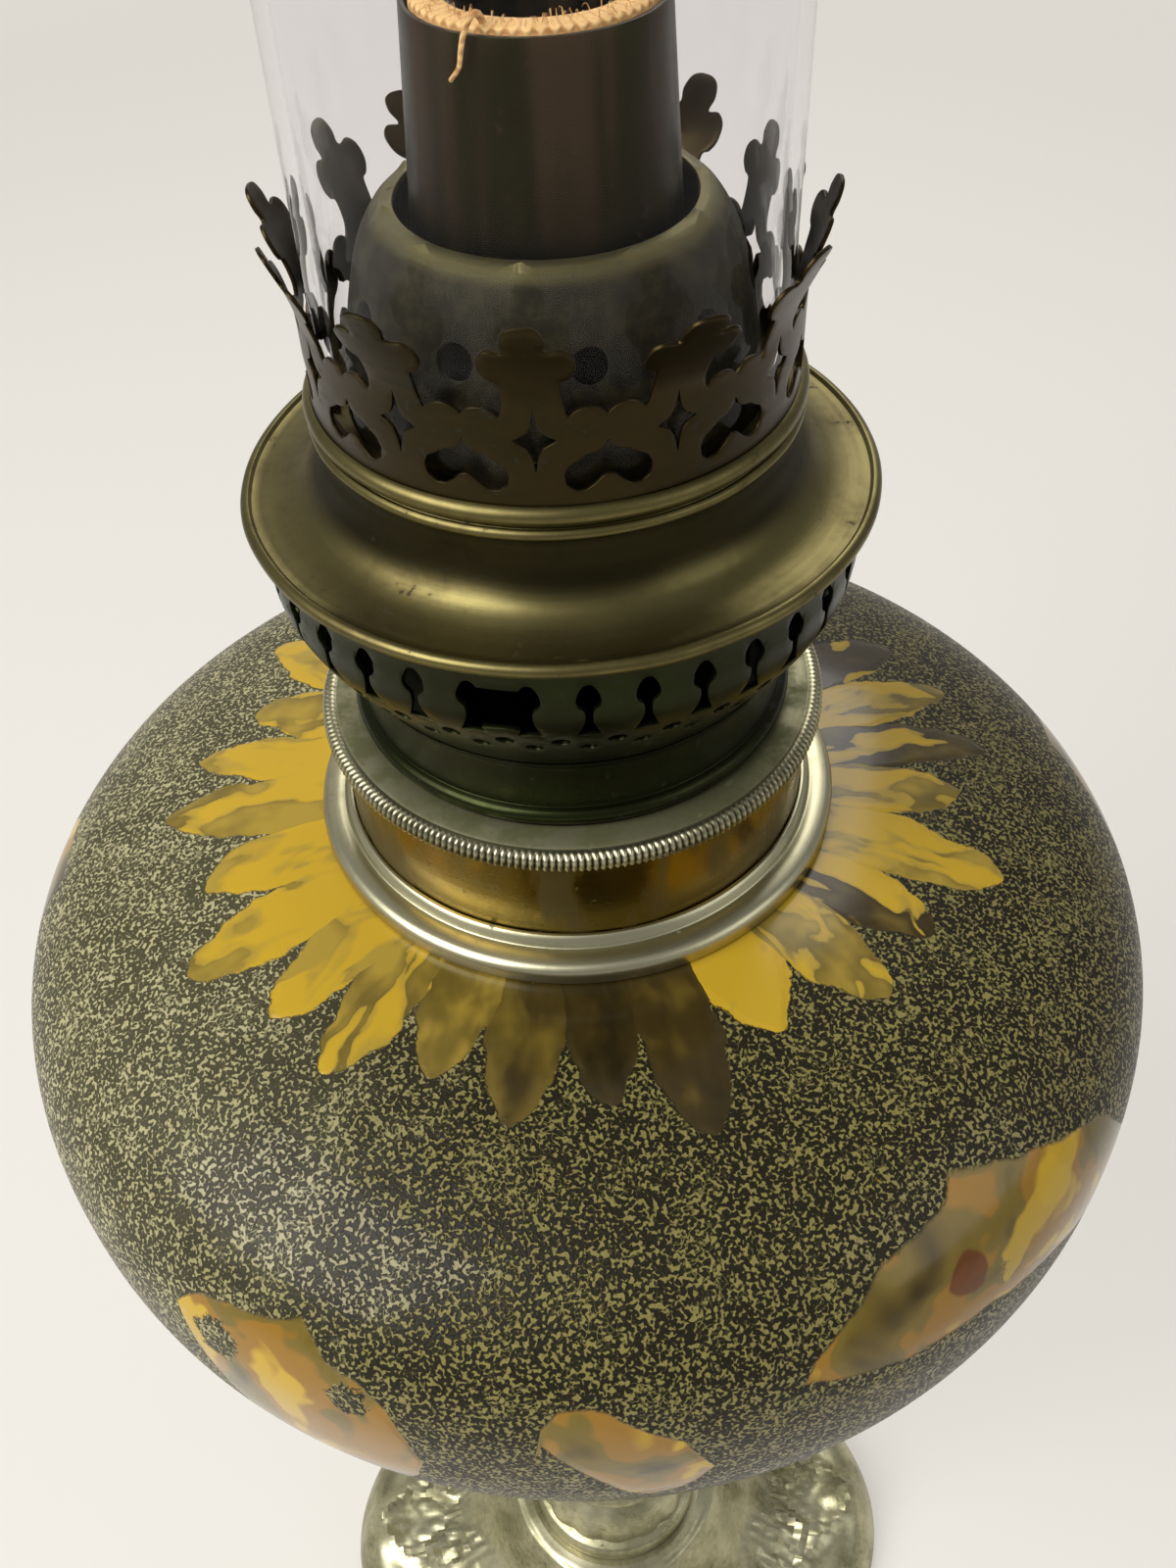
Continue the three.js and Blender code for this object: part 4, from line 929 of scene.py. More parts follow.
KNOB = [
    (1.6, 41.6), (3.2, 41.6), (3.2, 43.6), (8.6, 44.0), (9.5, 44.6), (9.5, 46.8), (8.8, 47.4),
    (7.6, 47.0), (3.6, 46.8), (3, 47.4), (1.6, 47.4),
]
YARN = curve([
    (-4.9, -10.2, 469.0), (-5.4, -11.2, 470.1), (-6.0, -12.3, 470.0), (-6.6, -12.7, 468.9),
    (-7.0, -12.6, 467.4), (-7.3, -12.5, 466.0), (-8.2, -12.2, 464.8),
], 5)
YARN_START = (-5.25, -10.9, 469.9)
YARN_END = (-5.6, -11.55, 469.9)


def knurls(count, depth, inner, fade, power):
    """Slots across an edge, beyond an inner radius in millimetres."""
    def relief(angle, r, z):
        edge = max(0.0, min(1.0, (r / MM - inner) / fade))
        return -depth * MM * edge * (0.5 - 0.5 * math.cos(count * angle)) ** power
    return relief


def flutes(count, depth, low, high):
    """Rounded flutes between two heights."""
    def relief(angle, r, z):
        share = (z / MM - low) / (high - low)
        within = math.sin(math.pi * share) ** 0.6 if 0 < share < 1 and r > 8 * MM else 0
        return depth * MM * within * (abs(math.cos(count * angle / 2)) - 0.7)
    return relief


def dented(depth, grain, seed):
    """Slight dents of a thin sheet that has been handled for years."""
    def relief(angle, r, z):
        size = grain * MM
        x, y = r * math.sin(angle) / size, r * math.cos(angle) / size
        return depth * MM * noise.noise((x, y, z / size + seed))
    return relief


# The foot's radii, height and the depth of its lobes
FOOT_NECK = 26
FOOT_RIM = 80
FOOT_HEIGHT = 52
LOBE_DEPTH = 5
RIM_WALL = 6


def hill(value, middle, width):
    """A rounded hill, 1 high at its middle."""
    return math.exp(-((value - middle) / width) ** 2)


def lobed_foot(scroll_height):
    """The cast foot: an ogee dome with four lobes, and on each lobe a boss between two scrolls."""
    shares = curve([(0, 1), (0.04, 0.965), (0.12, 0.88), (0.28, 0.6), (0.46, 0.41), (0.66, 0.34),
                    (0.84, 0.32), (0.93, 0.24), (0.98, 0.13), (1, 0.06)], 5)
    spiral = []
    for i in range(46):
        angle, size = 0.34 * i, 1.2 + 0.21 * i
        spiral.append((13.5 + size * math.cos(angle) * 1.15, -8 + size * math.sin(angle)))
    spiral += [(13.5 - 1.6 * i, 3.4 + 1.25 * i) for i in range(8)]

    def section_at(angle):
        lobe = math.cos(4 * angle)
        rim = FOOT_RIM + LOBE_DEPTH * lobe
        reach = rim - FOOT_NECK
        lift = 3 * max(0, -lobe)
        turn = math.asin(math.sin(2 * angle)) / 2
        top = []
        for share, height in shares:
            radius = FOOT_NECK + share * reach
            x, y = abs(turn) * radius, (share - 0.62) * reach
            fade = min(1, (1 - share) / 0.12) * min(1, share / 0.06)
            scroll = min(math.hypot(x - sx, y - sy) for sx, sy in spiral)
            boss = math.hypot(x, (share - 0.85) * reach)
            fan = math.cos(9 * math.atan2(x, 14 + y))
            shell = max(0, fan) * hill(math.hypot(x, y + 2), 9, 4)
            relief = scroll_height * hill(scroll, 0, 1.5) + 4.2 * hill(boss, 0, 7) + 1.3 * shell
            relief += 1.1 * math.cos(12 * angle) * hill(share, 0.24, 0.13)
            relief += 0.9 * hill(share, 0.075, 0.022)
            top.append((radius, height * FOOT_HEIGHT + relief * fade + lift * share ** 6))
        under = [(FOOT_NECK + share * (reach - RIM_WALL), height * FOOT_HEIGHT - 4)
                 for share, height in shares[::4] if share < 0.85]
        edge = [(rim - RIM_WALL, lift), (rim - 1, lift)]
        hub = [(ROD_HOLE, 44), (22, 44)]
        return metres([*hub, *under, *edge, *top[::-1], (ROD_HOLE, FOOT_HEIGHT)])
    return formed(section_at, 360)


def block_ring(count, phase, span, inner, outer, low, high, steps=14):
    """Equal blocks round the Z axis, between two radii and two heights."""
    section = [(inner, low), (outer, low), (outer, high), (inner, high)]
    parts = []
    for block in range(count):
        vertices = []
        for k in range(steps + 1):
            angle = math.radians(phase + 360 * block / count + span * (k / steps - 0.5))
            vertices += metres([around(r, angle, z) for r, z in section])
        parts.append((vertices, wall_faces(steps, 4)))
    return together(*parts)


def keyhole_cells():
    """Outlines of the basket's cells: a keyhole with a small vent below it and one beside that."""
    half = math.pi * BASKET_RADIUS / KEYHOLES
    head = curve([(0, -3.5), (0.55, -3.72), (1.1, -4.6), (1.42, -5.6), (1.2, -6.5), (0.62, -7),
                  (0.45, -7.5)], 3)
    foot = curve([(0.45, -7.5), (0.47, -8.6), (0.84, -9.8), (1.55, -11.5)], 3)
    side = [*head, *foot[1:], (0, -11.35)]
    gap_low, gap_high = FRONT_GAP
    upper = [p for p in side if p[1] > gap_high]
    lower = [p for p in side if p[1] < gap_low]
    left, right = -0.55 * half, 1.45 * half
    corners = box_outline(left, right, -22.6, -0.65)
    vents = [oval(0, -14.9, 1.15, 0.95), oval(half, -13.0, 1.2, 0.9)]

    def outline_at(cell):
        if cell == MISSING_BAR:
            notch = [(right, gap_low), *lower, *mirrored(side), *upper, (right, gap_high)]
            return [*corners[:2], *notch, *corners[2:]], vents
        if cell == (MISSING_BAR + 1) % KEYHOLES:
            notch = [(left, gap_high), *mirrored(upper), *side, *mirrored(lower), (left, gap_low)]
            return [*corners, *notch], vents
        return corners, [mirrored(side) + side, *vents]
    return half, outline_at


def crown_prong():
    """One prong of the crown: a trefoil head on a wall with a star, and half leaves beside it."""
    half = math.pi * CROWN_RADIUS / PRONGS
    leaf = [(0, 8.2), (0.45, 7.2), (1.3, 6.7), (2.3, 6.5), (3.1, 5.9), (4.1, 5.3), (4.5, 4.3),
            (4.3, 3.1), (3.4, 2.4), (2.4, 2.4), (1.5, 3), (0.7, 3.8), (0, 4.1)]
    star = [(0, 11.7), (0.35, 10), (0.8, 9.1), (2.2, 8.3), (0.8, 7.5), (0.35, 6.6), (0, 4.9)]
    head = curve([(3.4, 10.9), (3.05, 11.7), (2.85, 13.2), (2.95, 15.1), (3.7, 15.5), (4.4, 16.6),
                  (4.3, 18.2), (3.3, 19.1), (2.1, 18.9), (1.75, 19.3), (1.95, 20.3), (1.5, 21.5),
                  (0.7, 21.95), (0, 22)], 3)
    rise = curve([(half, 10.9), (half - 0.7, 11.6), (half - 1.9, 11.9), (half - 3.1, 11.6),
                  (3.4, 10.9)], 3)[:-1]
    right = [(half, 0), *[(half - x, y) for x, y in leaf[::-1]], *rise, *head]
    return half, right + mirrored(right), [mirrored(star) + star]


def bent_prongs(strength):
    """How each prong of the crown has been bent by use: outwards, along and twisted."""
    chance = random.Random(4)
    bends = [
        (chance.uniform(-0.3, 1.6), chance.uniform(-0.02, 0.02), chance.uniform(-0.5, 0.5))
        for _ in range(PRONGS)
    ]
    bends[5] = (6.2, 0.01, 0.8)
    bends[7] = (2.5, 0.13, 0.3)
    bends[8] = (5.2, -0.03, -0.9)
    bends[1] = (2.6, 0.02, 0.6)

    def bend(cell, r, z, angle, across, up):
        out, along, twist = (strength * value for value in bends[cell])
        share = max(0.0, up - 11.5) / 10.5
        r += out * share ** 1.6 + twist * share * across * 0.22
        z -= 0.09 * max(0, out) ** 1.3 * share ** 2
        return r, z, angle + along * share
    return bend


def arch(width, foot, height, steps=12):
    """A door with a round top, as an outline from its right foot round to its left one."""
    top = foot + height - width / 2
    return [(width / 2, foot), *arc(0, top, width / 2, 0, 180, steps), (-width / 2, foot)]


def duct(width, foot, height, near, far):
    """The side duct of the draught tube: an arch pushed along -X."""
    loop = subdivided(arch(width, foot, height, 20), 2)
    vertices = metres([(-x, -y, z) for x in (near, far) for y, z in loop], PLANE)
    return vertices, wall_faces(1, len(loop), closed=False)


def fibres(count, seed):
    """Short loose fibres that stand on the wick's upper edge, inside its tube."""
    chance = random.Random(seed)
    inner, outer, edge = 9.6, 12.3, 468.6
    parts = []
    for _ in range(count):
        angle, r = chance.uniform(0, TURN), chance.uniform(inner, outer)
        x, y, z = around(r, angle, edge)
        line = []
        lean, height = chance.uniform(0, TURN), chance.uniform(0.5, 1.3)
        for k in range(5):
            reach = k / 4 * chance.uniform(0.5, 1.0)
            spot = Vector((x + reach * math.cos(lean), y + reach * math.sin(lean), 0))
            spot *= min(1, 12.2 / spot.length)
            line.append((spot.x, spot.y, z + height * math.sin(k / 4 * 2.4)))
        parts.append(tube(metres(line), lambda share: 0.06 * MM * (1.1 - share), 4))
    return together(*parts)


# What the pieces are made with

class LampSizes(bpy.types.PropertyGroup):
    """Sizes that a user would change"""
    glaze_relief: bpy.props.FloatProperty(
        name="Glaze relief", description="How far the petals stand above the ground of the font",
        default=0.5 * MM, min=0, max=2 * MM, subtype="DISTANCE", unit="LENGTH",
    )
    scroll_height: bpy.props.FloatProperty(
        name="Scroll height", description="Height of the foot's scrolls, in millimetres",
        default=2.2, min=0, max=4,
    )
    knurl_count: bpy.props.IntProperty(
        name="Knurls", description="Ribs round the edge of the bayonet cap",
        default=240, min=24, max=400,
    )
    prong_bend: bpy.props.FloatProperty(
        name="Prong bend", description="How much use has bent the crown's prongs",
        default=1.0, min=0, max=1.2,
    )
    fibre_count: bpy.props.IntProperty(
        name="Fibres", description="Loose fibres on the wick's upper edge",
        default=260, min=0, max=1000,
    )


def colour_property(name, description, red, green, blue):
    """A colour with its default given from 0 to 255."""
    return bpy.props.FloatVectorProperty(
        name=name, description=description, size=3, subtype="COLOR", min=0, max=1,
        default=paint(red, green, blue)[:3],
    )


class LampColours(bpy.types.PropertyGroup):
    """Colours of the glazes, the metals and the other materials"""
    petal_yellow: colour_property("Petal yellow", "Bright yellow glaze", 186, 151, 38)
    petal_straw: colour_property("Petal straw", "Thin yellow glaze over the body", 160, 134, 50)
    petal_olive: colour_property("Petal olive", "Olive glaze", 112, 94, 36)
    petal_brown: colour_property("Petal brown", "Brown glaze", 62, 50, 20)
    petal_dark: colour_property("Petal dark", "Darkest brown glaze", 40, 32, 13)
    blossom_amber: colour_property("Blossom amber", "Amber glaze of the blossoms", 142, 104, 32)
    blossom_red: colour_property("Blossom red", "Red-brown hearts of the blossoms", 94, 44, 16)
    ground_dark: colour_property("Ground", "Dark ground between the worms", 30, 26, 12)
    # Painted light: the next two colours are lit copies of the ground and the worms, used towards
    # the left.
    ground_worn: colour_property("Worn ground", "Paler ground at the left", 70, 66, 44)
    worm_grey: colour_property("Grey worms", "Pale worms at the left", 172, 164, 122)
    worm_green: colour_property("Green worms", "Pale worms in front", 130, 120, 66)
    nickel: colour_property("Nickel", "Clean nickel plating", 190, 184, 152)
    dull_nickel: colour_property("Dull nickel", "Greenish tarnish on the nickel", 122, 118, 86)
    dirt: colour_property("Dirt", "Grey-green dirt in corners and on flat faces", 100, 101, 66)
    aged_brass: colour_property("Aged brass", "Brass of the gallery plate", 112, 103, 64)
    brown_brass: colour_property("Brown brass", "Brown tarnish on the plate", 80, 70, 42)
    bright_brass: colour_property("Bright brass", "Brass of the collar's wall", 130, 108, 36)
    crown_brass: colour_property("Crown brass", "Warm brown brass of the crown", 50, 40, 19)
    basket_brass: colour_property("Basket brass", "Olive brass of the basket", 34, 35, 16)
    cup_brass: colour_property("Cup brass", "Dark greenish brass of the cup", 42, 48, 21)
    tube_brass: colour_property("Tube brass", "Olive-brown brass of the wick tube", 37, 34, 17)
    scorched: colour_property("Scorched", "Red-brown heat stains on the wick tube", 58, 39, 17)
    cone_brass: colour_property("Cone brass", "Dull olive brass of the flame cone", 33, 30, 14)
    soot: colour_property("Soot", "Nearly black tarnish", 30, 27, 14)
    # Painted shade: this black is mixed into hollows and slots as shade, not as soot.
    deep_soot: colour_property("Deep soot", "Black in hollows and slots", 20, 18, 11)
    iron: colour_property("Iron", "Bare iron of the rod", 96, 94, 90)
    rust: colour_property("Rust", "Rust on the iron", 70, 46, 30)
    iron_pits: colour_property("Iron pits", "Pits in the iron", 40, 34, 30)
    plaster: colour_property("Plaster", "Plaster under the font and the collar", 212, 206, 190)
    plaster_shade: colour_property("Plaster shade", "Darker mottle of the plaster", 170, 160, 138)
    leather: colour_property("Leather", "Leather of the washer", 72, 48, 32)
    leather_shade: colour_property("Leather shade", "Darker mottle of the leather", 40, 27, 18)
    # Partly painted highlight: this pale dust colour also makes the bright band at the cone's
    # mouth.
    dust: colour_property("Dust", "Burnt-in dust on the flame cone", 100, 94, 60)
    wick: colour_property("Wick", "Shaded cotton of the wick", 170, 118, 62)
    wick_pale: colour_property("Pale wick", "Lit cotton of the wick", 226, 190, 128)
    glass: colour_property("Glass", "Faint violet of the glass", 251, 250, 252)
    smudge: colour_property("Smudge", "Dust and fingermarks on the glass", 235, 232, 236)
    room_light: colour_property("Room light", "Soft light of the room", 236, 238, 242)
    floor: colour_property("Floor", "Floor near the lamp", 234, 230, 221)
    backdrop: colour_property("Backdrop", "Room behind the lamp and far floor", 228, 224, 215)


def named_values(group):
    """A property group's values by name, with colours as RGBA."""
    values = {}
    for name in group.__annotations__:
        value = getattr(group, name)
        values[name] = (*value, 1.0) if hasattr(value, "__len__") else value
    return values


def lamp_sizes():
    return named_values(bpy.context.scene.lamp_sizes)


def lamp_colours():
    return named_values(bpy.context.scene.lamp_colours)


# Each finish: its slot, what makes it, its colours, and its other settings.
NICKEL = ("nickel", "dull_nickel", "dirt")
PLATE_BRASS = ("aged_brass", "brown_brass", "soot")
RECIPES = {
    "cast_nickel": ("nickel_plate", metal, NICKEL, dict(roughness=0.37, cover=0.65)),
    "worn_nickel": ("nickel_plate", metal, NICKEL, dict(roughness=0.34, cover=0.35)),
    "cap_nickel": ("nickel_plate", metal, NICKEL, dict(dirt=dirty_face, shaded=painted_slot_shade)),
    "plate_brass": ("aged_brass", metal, PLATE_BRASS, dict(roughness=0.37, shaded=painted_waist_shade)),
    "winder_brass": ("aged_brass", metal, PLATE_BRASS, dict(cover=0.4, metallic=0.95)),
    "wall_brass": (
        "bright_brass", metal, ("bright_brass", "aged_brass", "brown_brass"),
        dict(roughness=0.24, cover=0.35, dirt=patchy_wall),
    ),
    "crown_brass": (
        "dark_brass", metal, ("crown_brass", "basket_brass", "soot"),
        dict(roughness=0.36, cover=0.35, metallic=0.9),
    ),
    "basket_brass": (
        "dark_brass", metal, ("basket_brass", "cup_brass", "soot"),
        dict(roughness=0.34, metallic=0.9),
    ),
    "cup_brass": (
        "dark_brass", metal, ("cup_brass", "soot", "soot"), dict(roughness=0.26, metallic=0.9),
    ),
    "tube_brass": (
        "dark_brass", metal, ("tube_brass", "soot", "scorched"),
        dict(roughness=0.36, cover=0.3, dirt=burnt_middle, shaded=painted_tube_shade),
    ),
    "dusty_brass": (
        "aged_brass", metal, ("dust", "dust", "cone_brass"),
        dict(roughness=0.5, cover=0.4, metallic=0.9, dirt=soot_and_lit_mouth, grain=0.35),
    ),
    "iron": ("iron", metal, ("iron", "rust", "iron_pits"), dict(roughness=0.5, metallic=0.8)),
    "plaster": ("plaster", plain, ("plaster", "plaster_shade"), dict(grain=2, roughness=0.9)),
    "leather": ("leather", plain, ("leather", "leather_shade"), dict(grain=1, roughness=0.75)),
    "wick_cotton": ("cotton", cotton, ("wick", "wick_pale"), {}),
    "clear_glass": ("clear_glass", clear_glass, ("glass", "smudge"), {}),
    "glazed_ceramic": ("glazed_body", glazed_ceramic, (), {}),
}
FINISHES = {}


def finish_of(name):
    """The finish of that name, made when it is first asked for."""
    if name not in FINISHES:
        make, names, settings = RECIPES[name][1:]
        colours = lamp_colours()
        FINISHES[name] = make(Finish(name), *(colours[colour] for colour in names), **settings)
    return FINISHES[name]


def dress(finish, *nodes):
    """Gives CAD nodes that keep their own shape a finish."""
    for node in nodes:
        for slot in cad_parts[node].material_slots:
            slot.material = finish_of(finish)


class LAMP_OT_foot(bpy.types.Operator):
    """Cast foot with scrolls in relief"""
    bl_idname = "lamp.foot"
    bl_label = "Cast Foot"

    def execute(self, context):
        shape = lobed_foot(lamp_sizes()["scroll_height"])
        piece("lobed_foot", shape, "lamp_stand", "cast_nickel", "cast_foot")
        return {"FINISHED"}


class LAMP_OT_stem(bpy.types.Operator):
    """Fluted stem, the dish under the font and the tie rod"""
    bl_idname = "lamp.stem"
    bl_label = "Stem"

    def execute(self, context):
        for name, node, section, foot, corner, ribs in (
            ("fluted_knop", "stem_knop", KNOP, KNOP_FOOT, 0.4, (16, 1.1, 60.5, 80)),
            ("fluted_vase", "stem_vase", VASE, VASE_FOOT, 0.4, (14, 1.3, 142, 196)),
            ("ribbed_dish", "font_socket", DISH, DISH_FOOT, 0.35, (28, 0.7, 256.4, 264.6)),
        ):
            shape = lathed(section, foot, corner, flutes(*ribs))
            piece(name, shape, "lamp_stand", "cast_nickel", node)
        dress("plaster", "socket_plaster", "collar_plaster")
        dress("iron", "tie_rod", "tie_rod_washer", "tie_rod_nut")
        return {"FINISHED"}


class LAMP_OT_font(bpy.types.Operator):
    """Glazed ceramic font"""
    bl_idname = "lamp.font"
    bl_label = "Ceramic Font"

    def execute(self, context):
        shape = lathed(font_section(), 0, 0.6, segments=288)
        piece("glazed_font", shape, "lamp_stand", "glazed_ceramic", "ceramic_font")
        return {"FINISHED"}


class LAMP_OT_collar(bpy.types.Operator):
    """Nickel ring and brass wall of the bayonet collar"""
    bl_idname = "lamp.collar"
    bl_label = "Collar"

    def execute(self, context):
        ring = lathed(COLLAR_RING, COLLAR_FOOT, 0.25, dented(0.08, 9, 2))
        piece("rolled_ring", ring, "lamp_stand", "worn_nickel", "collar_ring")
        wall = lathed(COLLAR_WALL, COLLAR_FOOT, 0.15, dented(0.06, 12, 5))
        ledges = block_ring(3, 60, 93, inner=30.3, outer=32.4, low=376.8, high=377.8)
        piece("bayonet_wall", together(wall, ledges), "lamp_stand", "wall_brass", "collar_wall")
        return {"FINISHED"}


class LAMP_OT_cap(bpy.types.Operator):
    """Knurled bayonet cap and the washer on it"""
    bl_idname = "lamp.cap"
    bl_label = "Bayonet Cap"

    def execute(self, context):
        count = lamp_sizes()["knurl_count"]
        ribs = knurls(count, 0.4, 33.2, 0.8, 1.5)
        cap = lathed(CAP, CAP_TOP, 0.2, ribs, segments=4 * count)
        lugs = block_ring(3, -25, 21, inner=29.4, outer=31.6, low=375.3, high=376.5)
        piece("knurled_cap", together(cap, lugs), "cap", "cap_nickel", "bayonet_cap")
        washer = lathed(WASHER, WASHER_FOOT, 0.2, segments=120)
        piece("leather_washer", washer, "washer", "leather", "seat_washer")
        return {"FINISHED"}


class LAMP_OT_cup(bpy.types.Operator):
    """Cup at the burner's foot, with its bead and thread"""
    bl_idname = "lamp.cup"
    bl_label = "Burner Cup"

    def execute(self, context):
        cup = lathed(CUP, CUP_FOOT, 0.15, dented(0.12, 11, 1))
        piece("beaded_cup", cup, "burner", "cup_brass", "burner_cup")
        return {"FINISHED"}


class LAMP_OT_basket(bpy.types.Operator):
    """Air basket, pierced with keyholes and vents"""
    bl_idname = "lamp.basket"
    bl_label = "Air Basket"

    def execute(self, context):
        half, outline_at = keyhole_cells()
        placed = wrapped(Line(BASKET_WALL), half, KEYHOLES, PLANE)
        shape = pierced(KEYHOLES, 2.6, cell_maker(outline_at, 1.3), placed)
        piece("pierced_basket", shape, "burner", "basket_brass", "air_basket", 0.6, 0.09)
        return {"FINISHED"}


class LAMP_OT_tubes(bpy.types.Operator):
    """Outer wick tube, draught tube with its side duct, and the wheels' housing"""
    bl_idname = "lamp.tubes"
    bl_label = "Wick Tubes"

    def execute(self, context):
        half = math.pi * WICK_TUBE_RADIUS
        line = Line([(WICK_TUBE_RADIUS, -45.8), (WICK_TUBE_RADIUS, 21), (15.3, 23.5), (14.4, 36),
                     (13.3, 53.5)])
        mouth = [(x - half / 2, y) for x, y in arch(16.2, -31.1, 25.2)]
        window = box_outline(half / 2 - 4.4, half / 2 + 4.4, -31.9, -20.9)
        outline = box_outline(-half, half, -45.8, 53.5)
        shape = repeated(1, 0, outline, [mouth, window], 1.7, wrapped(line, half, 1, PLANE))
        piece("wick_tube", shape, "burner", "tube_brass", "outer_wick_tube", 0.6, 0.08)

        half = math.pi * DRAUGHT_RADIUS
        line = Line([(DRAUGHT_RADIUS, DRAUGHT_FLOOR), (DRAUGHT_RADIUS, 53)])
        mouth = [(x - half / 2, y) for x, y in arch(14, -30, 23)]
        outline = box_outline(-half, half, DRAUGHT_FLOOR, 53)
        wall = repeated(1, 0, outline, [mouth], 1.7, wrapped(line, half, 1, PLANE))
        rim = [around(DRAUGHT_RADIUS, TURN * k / 48, DRAUGHT_FLOOR) for k in range(48)]
        floor = (metres(rim, PLANE), [list(range(48))[::-1]])
        shape = together(wall, floor, duct(15.6, -30.8, 24.6, 5.4, 15.8))
        piece("draught_pipe", shape, "burner", "tube_brass", "draught_tube", 0.6)
        dress("winder_brass", "wheel_housing")
        return {"FINISHED"}


class LAMP_OT_wick(bpy.types.Operator):
    """Round wick with loose fibres on its upper edge"""
    bl_idname = "lamp.wick"
    bl_label = "Wick"

    def execute(self, context):
        half = math.pi * WICK_RADIUS
        slot = arc(0, SLOT_TOP - SLOT_HALF, SLOT_HALF, 0, 90, 10)
        right = [(half - x, y) for x, y in slot]
        edge = right[0][0]
        outline = [(-edge, WICK_FOOT), (edge, WICK_FOOT), *right]
        outline += [(half, WICK_TOP), (-half, WICK_TOP), *mirrored(right)]
        line = Line([(WICK_RADIUS, WICK_FOOT), (WICK_RADIUS, WICK_TOP)])
        wick = repeated(1, 90, outline, [], 2.2, wrapped(line, half, 1, PLANE))
        piece("rolled_wick", wick, "wick", "wick_cotton", "round_wick", 3.1, 0.35)
        piece("wick_fibres", fibres(lamp_sizes()["fibre_count"], 7), "wick", "wick_cotton")
        loose = tube(metres(YARN), lambda share: (0.36 - 0.16 * share) * MM, 8)
        hanging = piece("loose_yarn", loose, None, "wick_cotton")
        start, end = metres([YARN_START, YARN_END])
        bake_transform(hanging)
        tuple(start)
        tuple(end)
        return {"FINISHED"}


class LAMP_OT_winder(bpy.types.Operator):
    """Wick wheels, shaft, gland and milled knob"""
    bl_idname = "lamp.winder"
    bl_label = "Wick Winder"

    def execute(self, context):
        vertices, faces = lathed(KNOB, 0, 0.3, knurls(40, 0.45, 8.7, 0.6, 1))
        placed = [(x + WINDER_X * MM, z, y + WINDER_Z * MM) for x, y, z in vertices]
        piece("milled_knob", (placed, faces), "winder", "winder_brass", "winder_knob")
        wheels = ("wick_wheel_1", "wick_wheel_2")
        dress("winder_brass", "shaft_gland", "gland_nut", "winder_shaft", *wheels)
        return {"FINISHED"}


class LAMP_OT_gallery(bpy.types.Operator):
    """Gallery plate with its flare, waist and beads"""
    bl_idname = "lamp.gallery"
    bl_label = "Gallery Plate"

    def execute(self, context):
        plate = lathed(PLATE, PLANE, 0.12, dented(0.14, 10, 3), segments=288)
        piece("flared_plate", plate, "gallery", "plate_brass", "gallery_plate")
        return {"FINISHED"}


class LAMP_OT_crown(bpy.types.Operator):
    """Pierced crown that holds the chimney, its prongs bent by use"""
    bl_idname = "lamp.crown"
    bl_label = "Chimney Crown"

    def execute(self, context):
        half, outline, holes = crown_prong()
        bend = bent_prongs(lamp_sizes()["prong_bend"])
        placed = wrapped(Line(CROWN_WALL), half, PRONGS, GLASS_FOOT, bend)
        shape = repeated(PRONGS, -5, outline, holes, 0.8, placed)
        piece("pierced_crown", shape, "gallery", "crown_brass", "chimney_crown", 0.45, 0.08)
        return {"FINISHED"}


class LAMP_OT_cone(bpy.types.Operator):
    """Flame cone with its ring of air holes"""
    bl_idname = "lamp.cone"
    bl_label = "Flame Cone"

    def execute(self, context):
        line = Line(CONE_WALL, by_length=True)
        half = math.pi * CONE_RADIUS / CONE_HOLES
        outline = box_outline(-half, half, 0, line.marks[-1])
        placed = wrapped(line, half, CONE_HOLES, PLANE)
        shape = repeated(CONE_HOLES, 9, outline, [oval(0, 15.6, 2, 2, 28)], 1.4, placed)
        piece("flame_dome", shape, "gallery", "dusty_brass", "flame_cone", 0.7, 0.1)
        return {"FINISHED"}


class LAMP_OT_chimney(bpy.types.Operator):
    """Clear glass chimney"""
    bl_idname = "lamp.chimney"
    bl_label = "Glass Chimney"

    def execute(self, context):
        section = [(r, max(0.0, min(GLASS_HEIGHT, z))) for r, z in walled(GLASS, 1.6)]
        shape = lathed(section, GLASS_FOOT, 0.7, segments=192)
        piece("blown_chimney", shape, "chimney", "clear_glass", "glass_chimney")
        return {"FINISHED"}


# The stage, in metres. An area light is a name, a place, a width and a power in watts.
AREA_LIGHTS = (
    ("window_light", (-1.1, -0.7, 1.5), 1.2, 36),
    ("fill_light", (1.3, -0.7, 1.1), 1.0, 4),
    ("rim_light", (0.2, 1.1, 1.5), 0.9, 8),
)
LIT_POINT = Vector((0, 0, 0.36))
CAMERA_PLACE = (0, -0.1495, 0.5138)
PITCH, YAW, ROLL = math.radians(46.19), math.radians(0.61), math.radians(-2.60)
PHOTO_HEIGHT = 1600
FOCAL_PIXELS = 1450
SENSOR_HEIGHT = 36


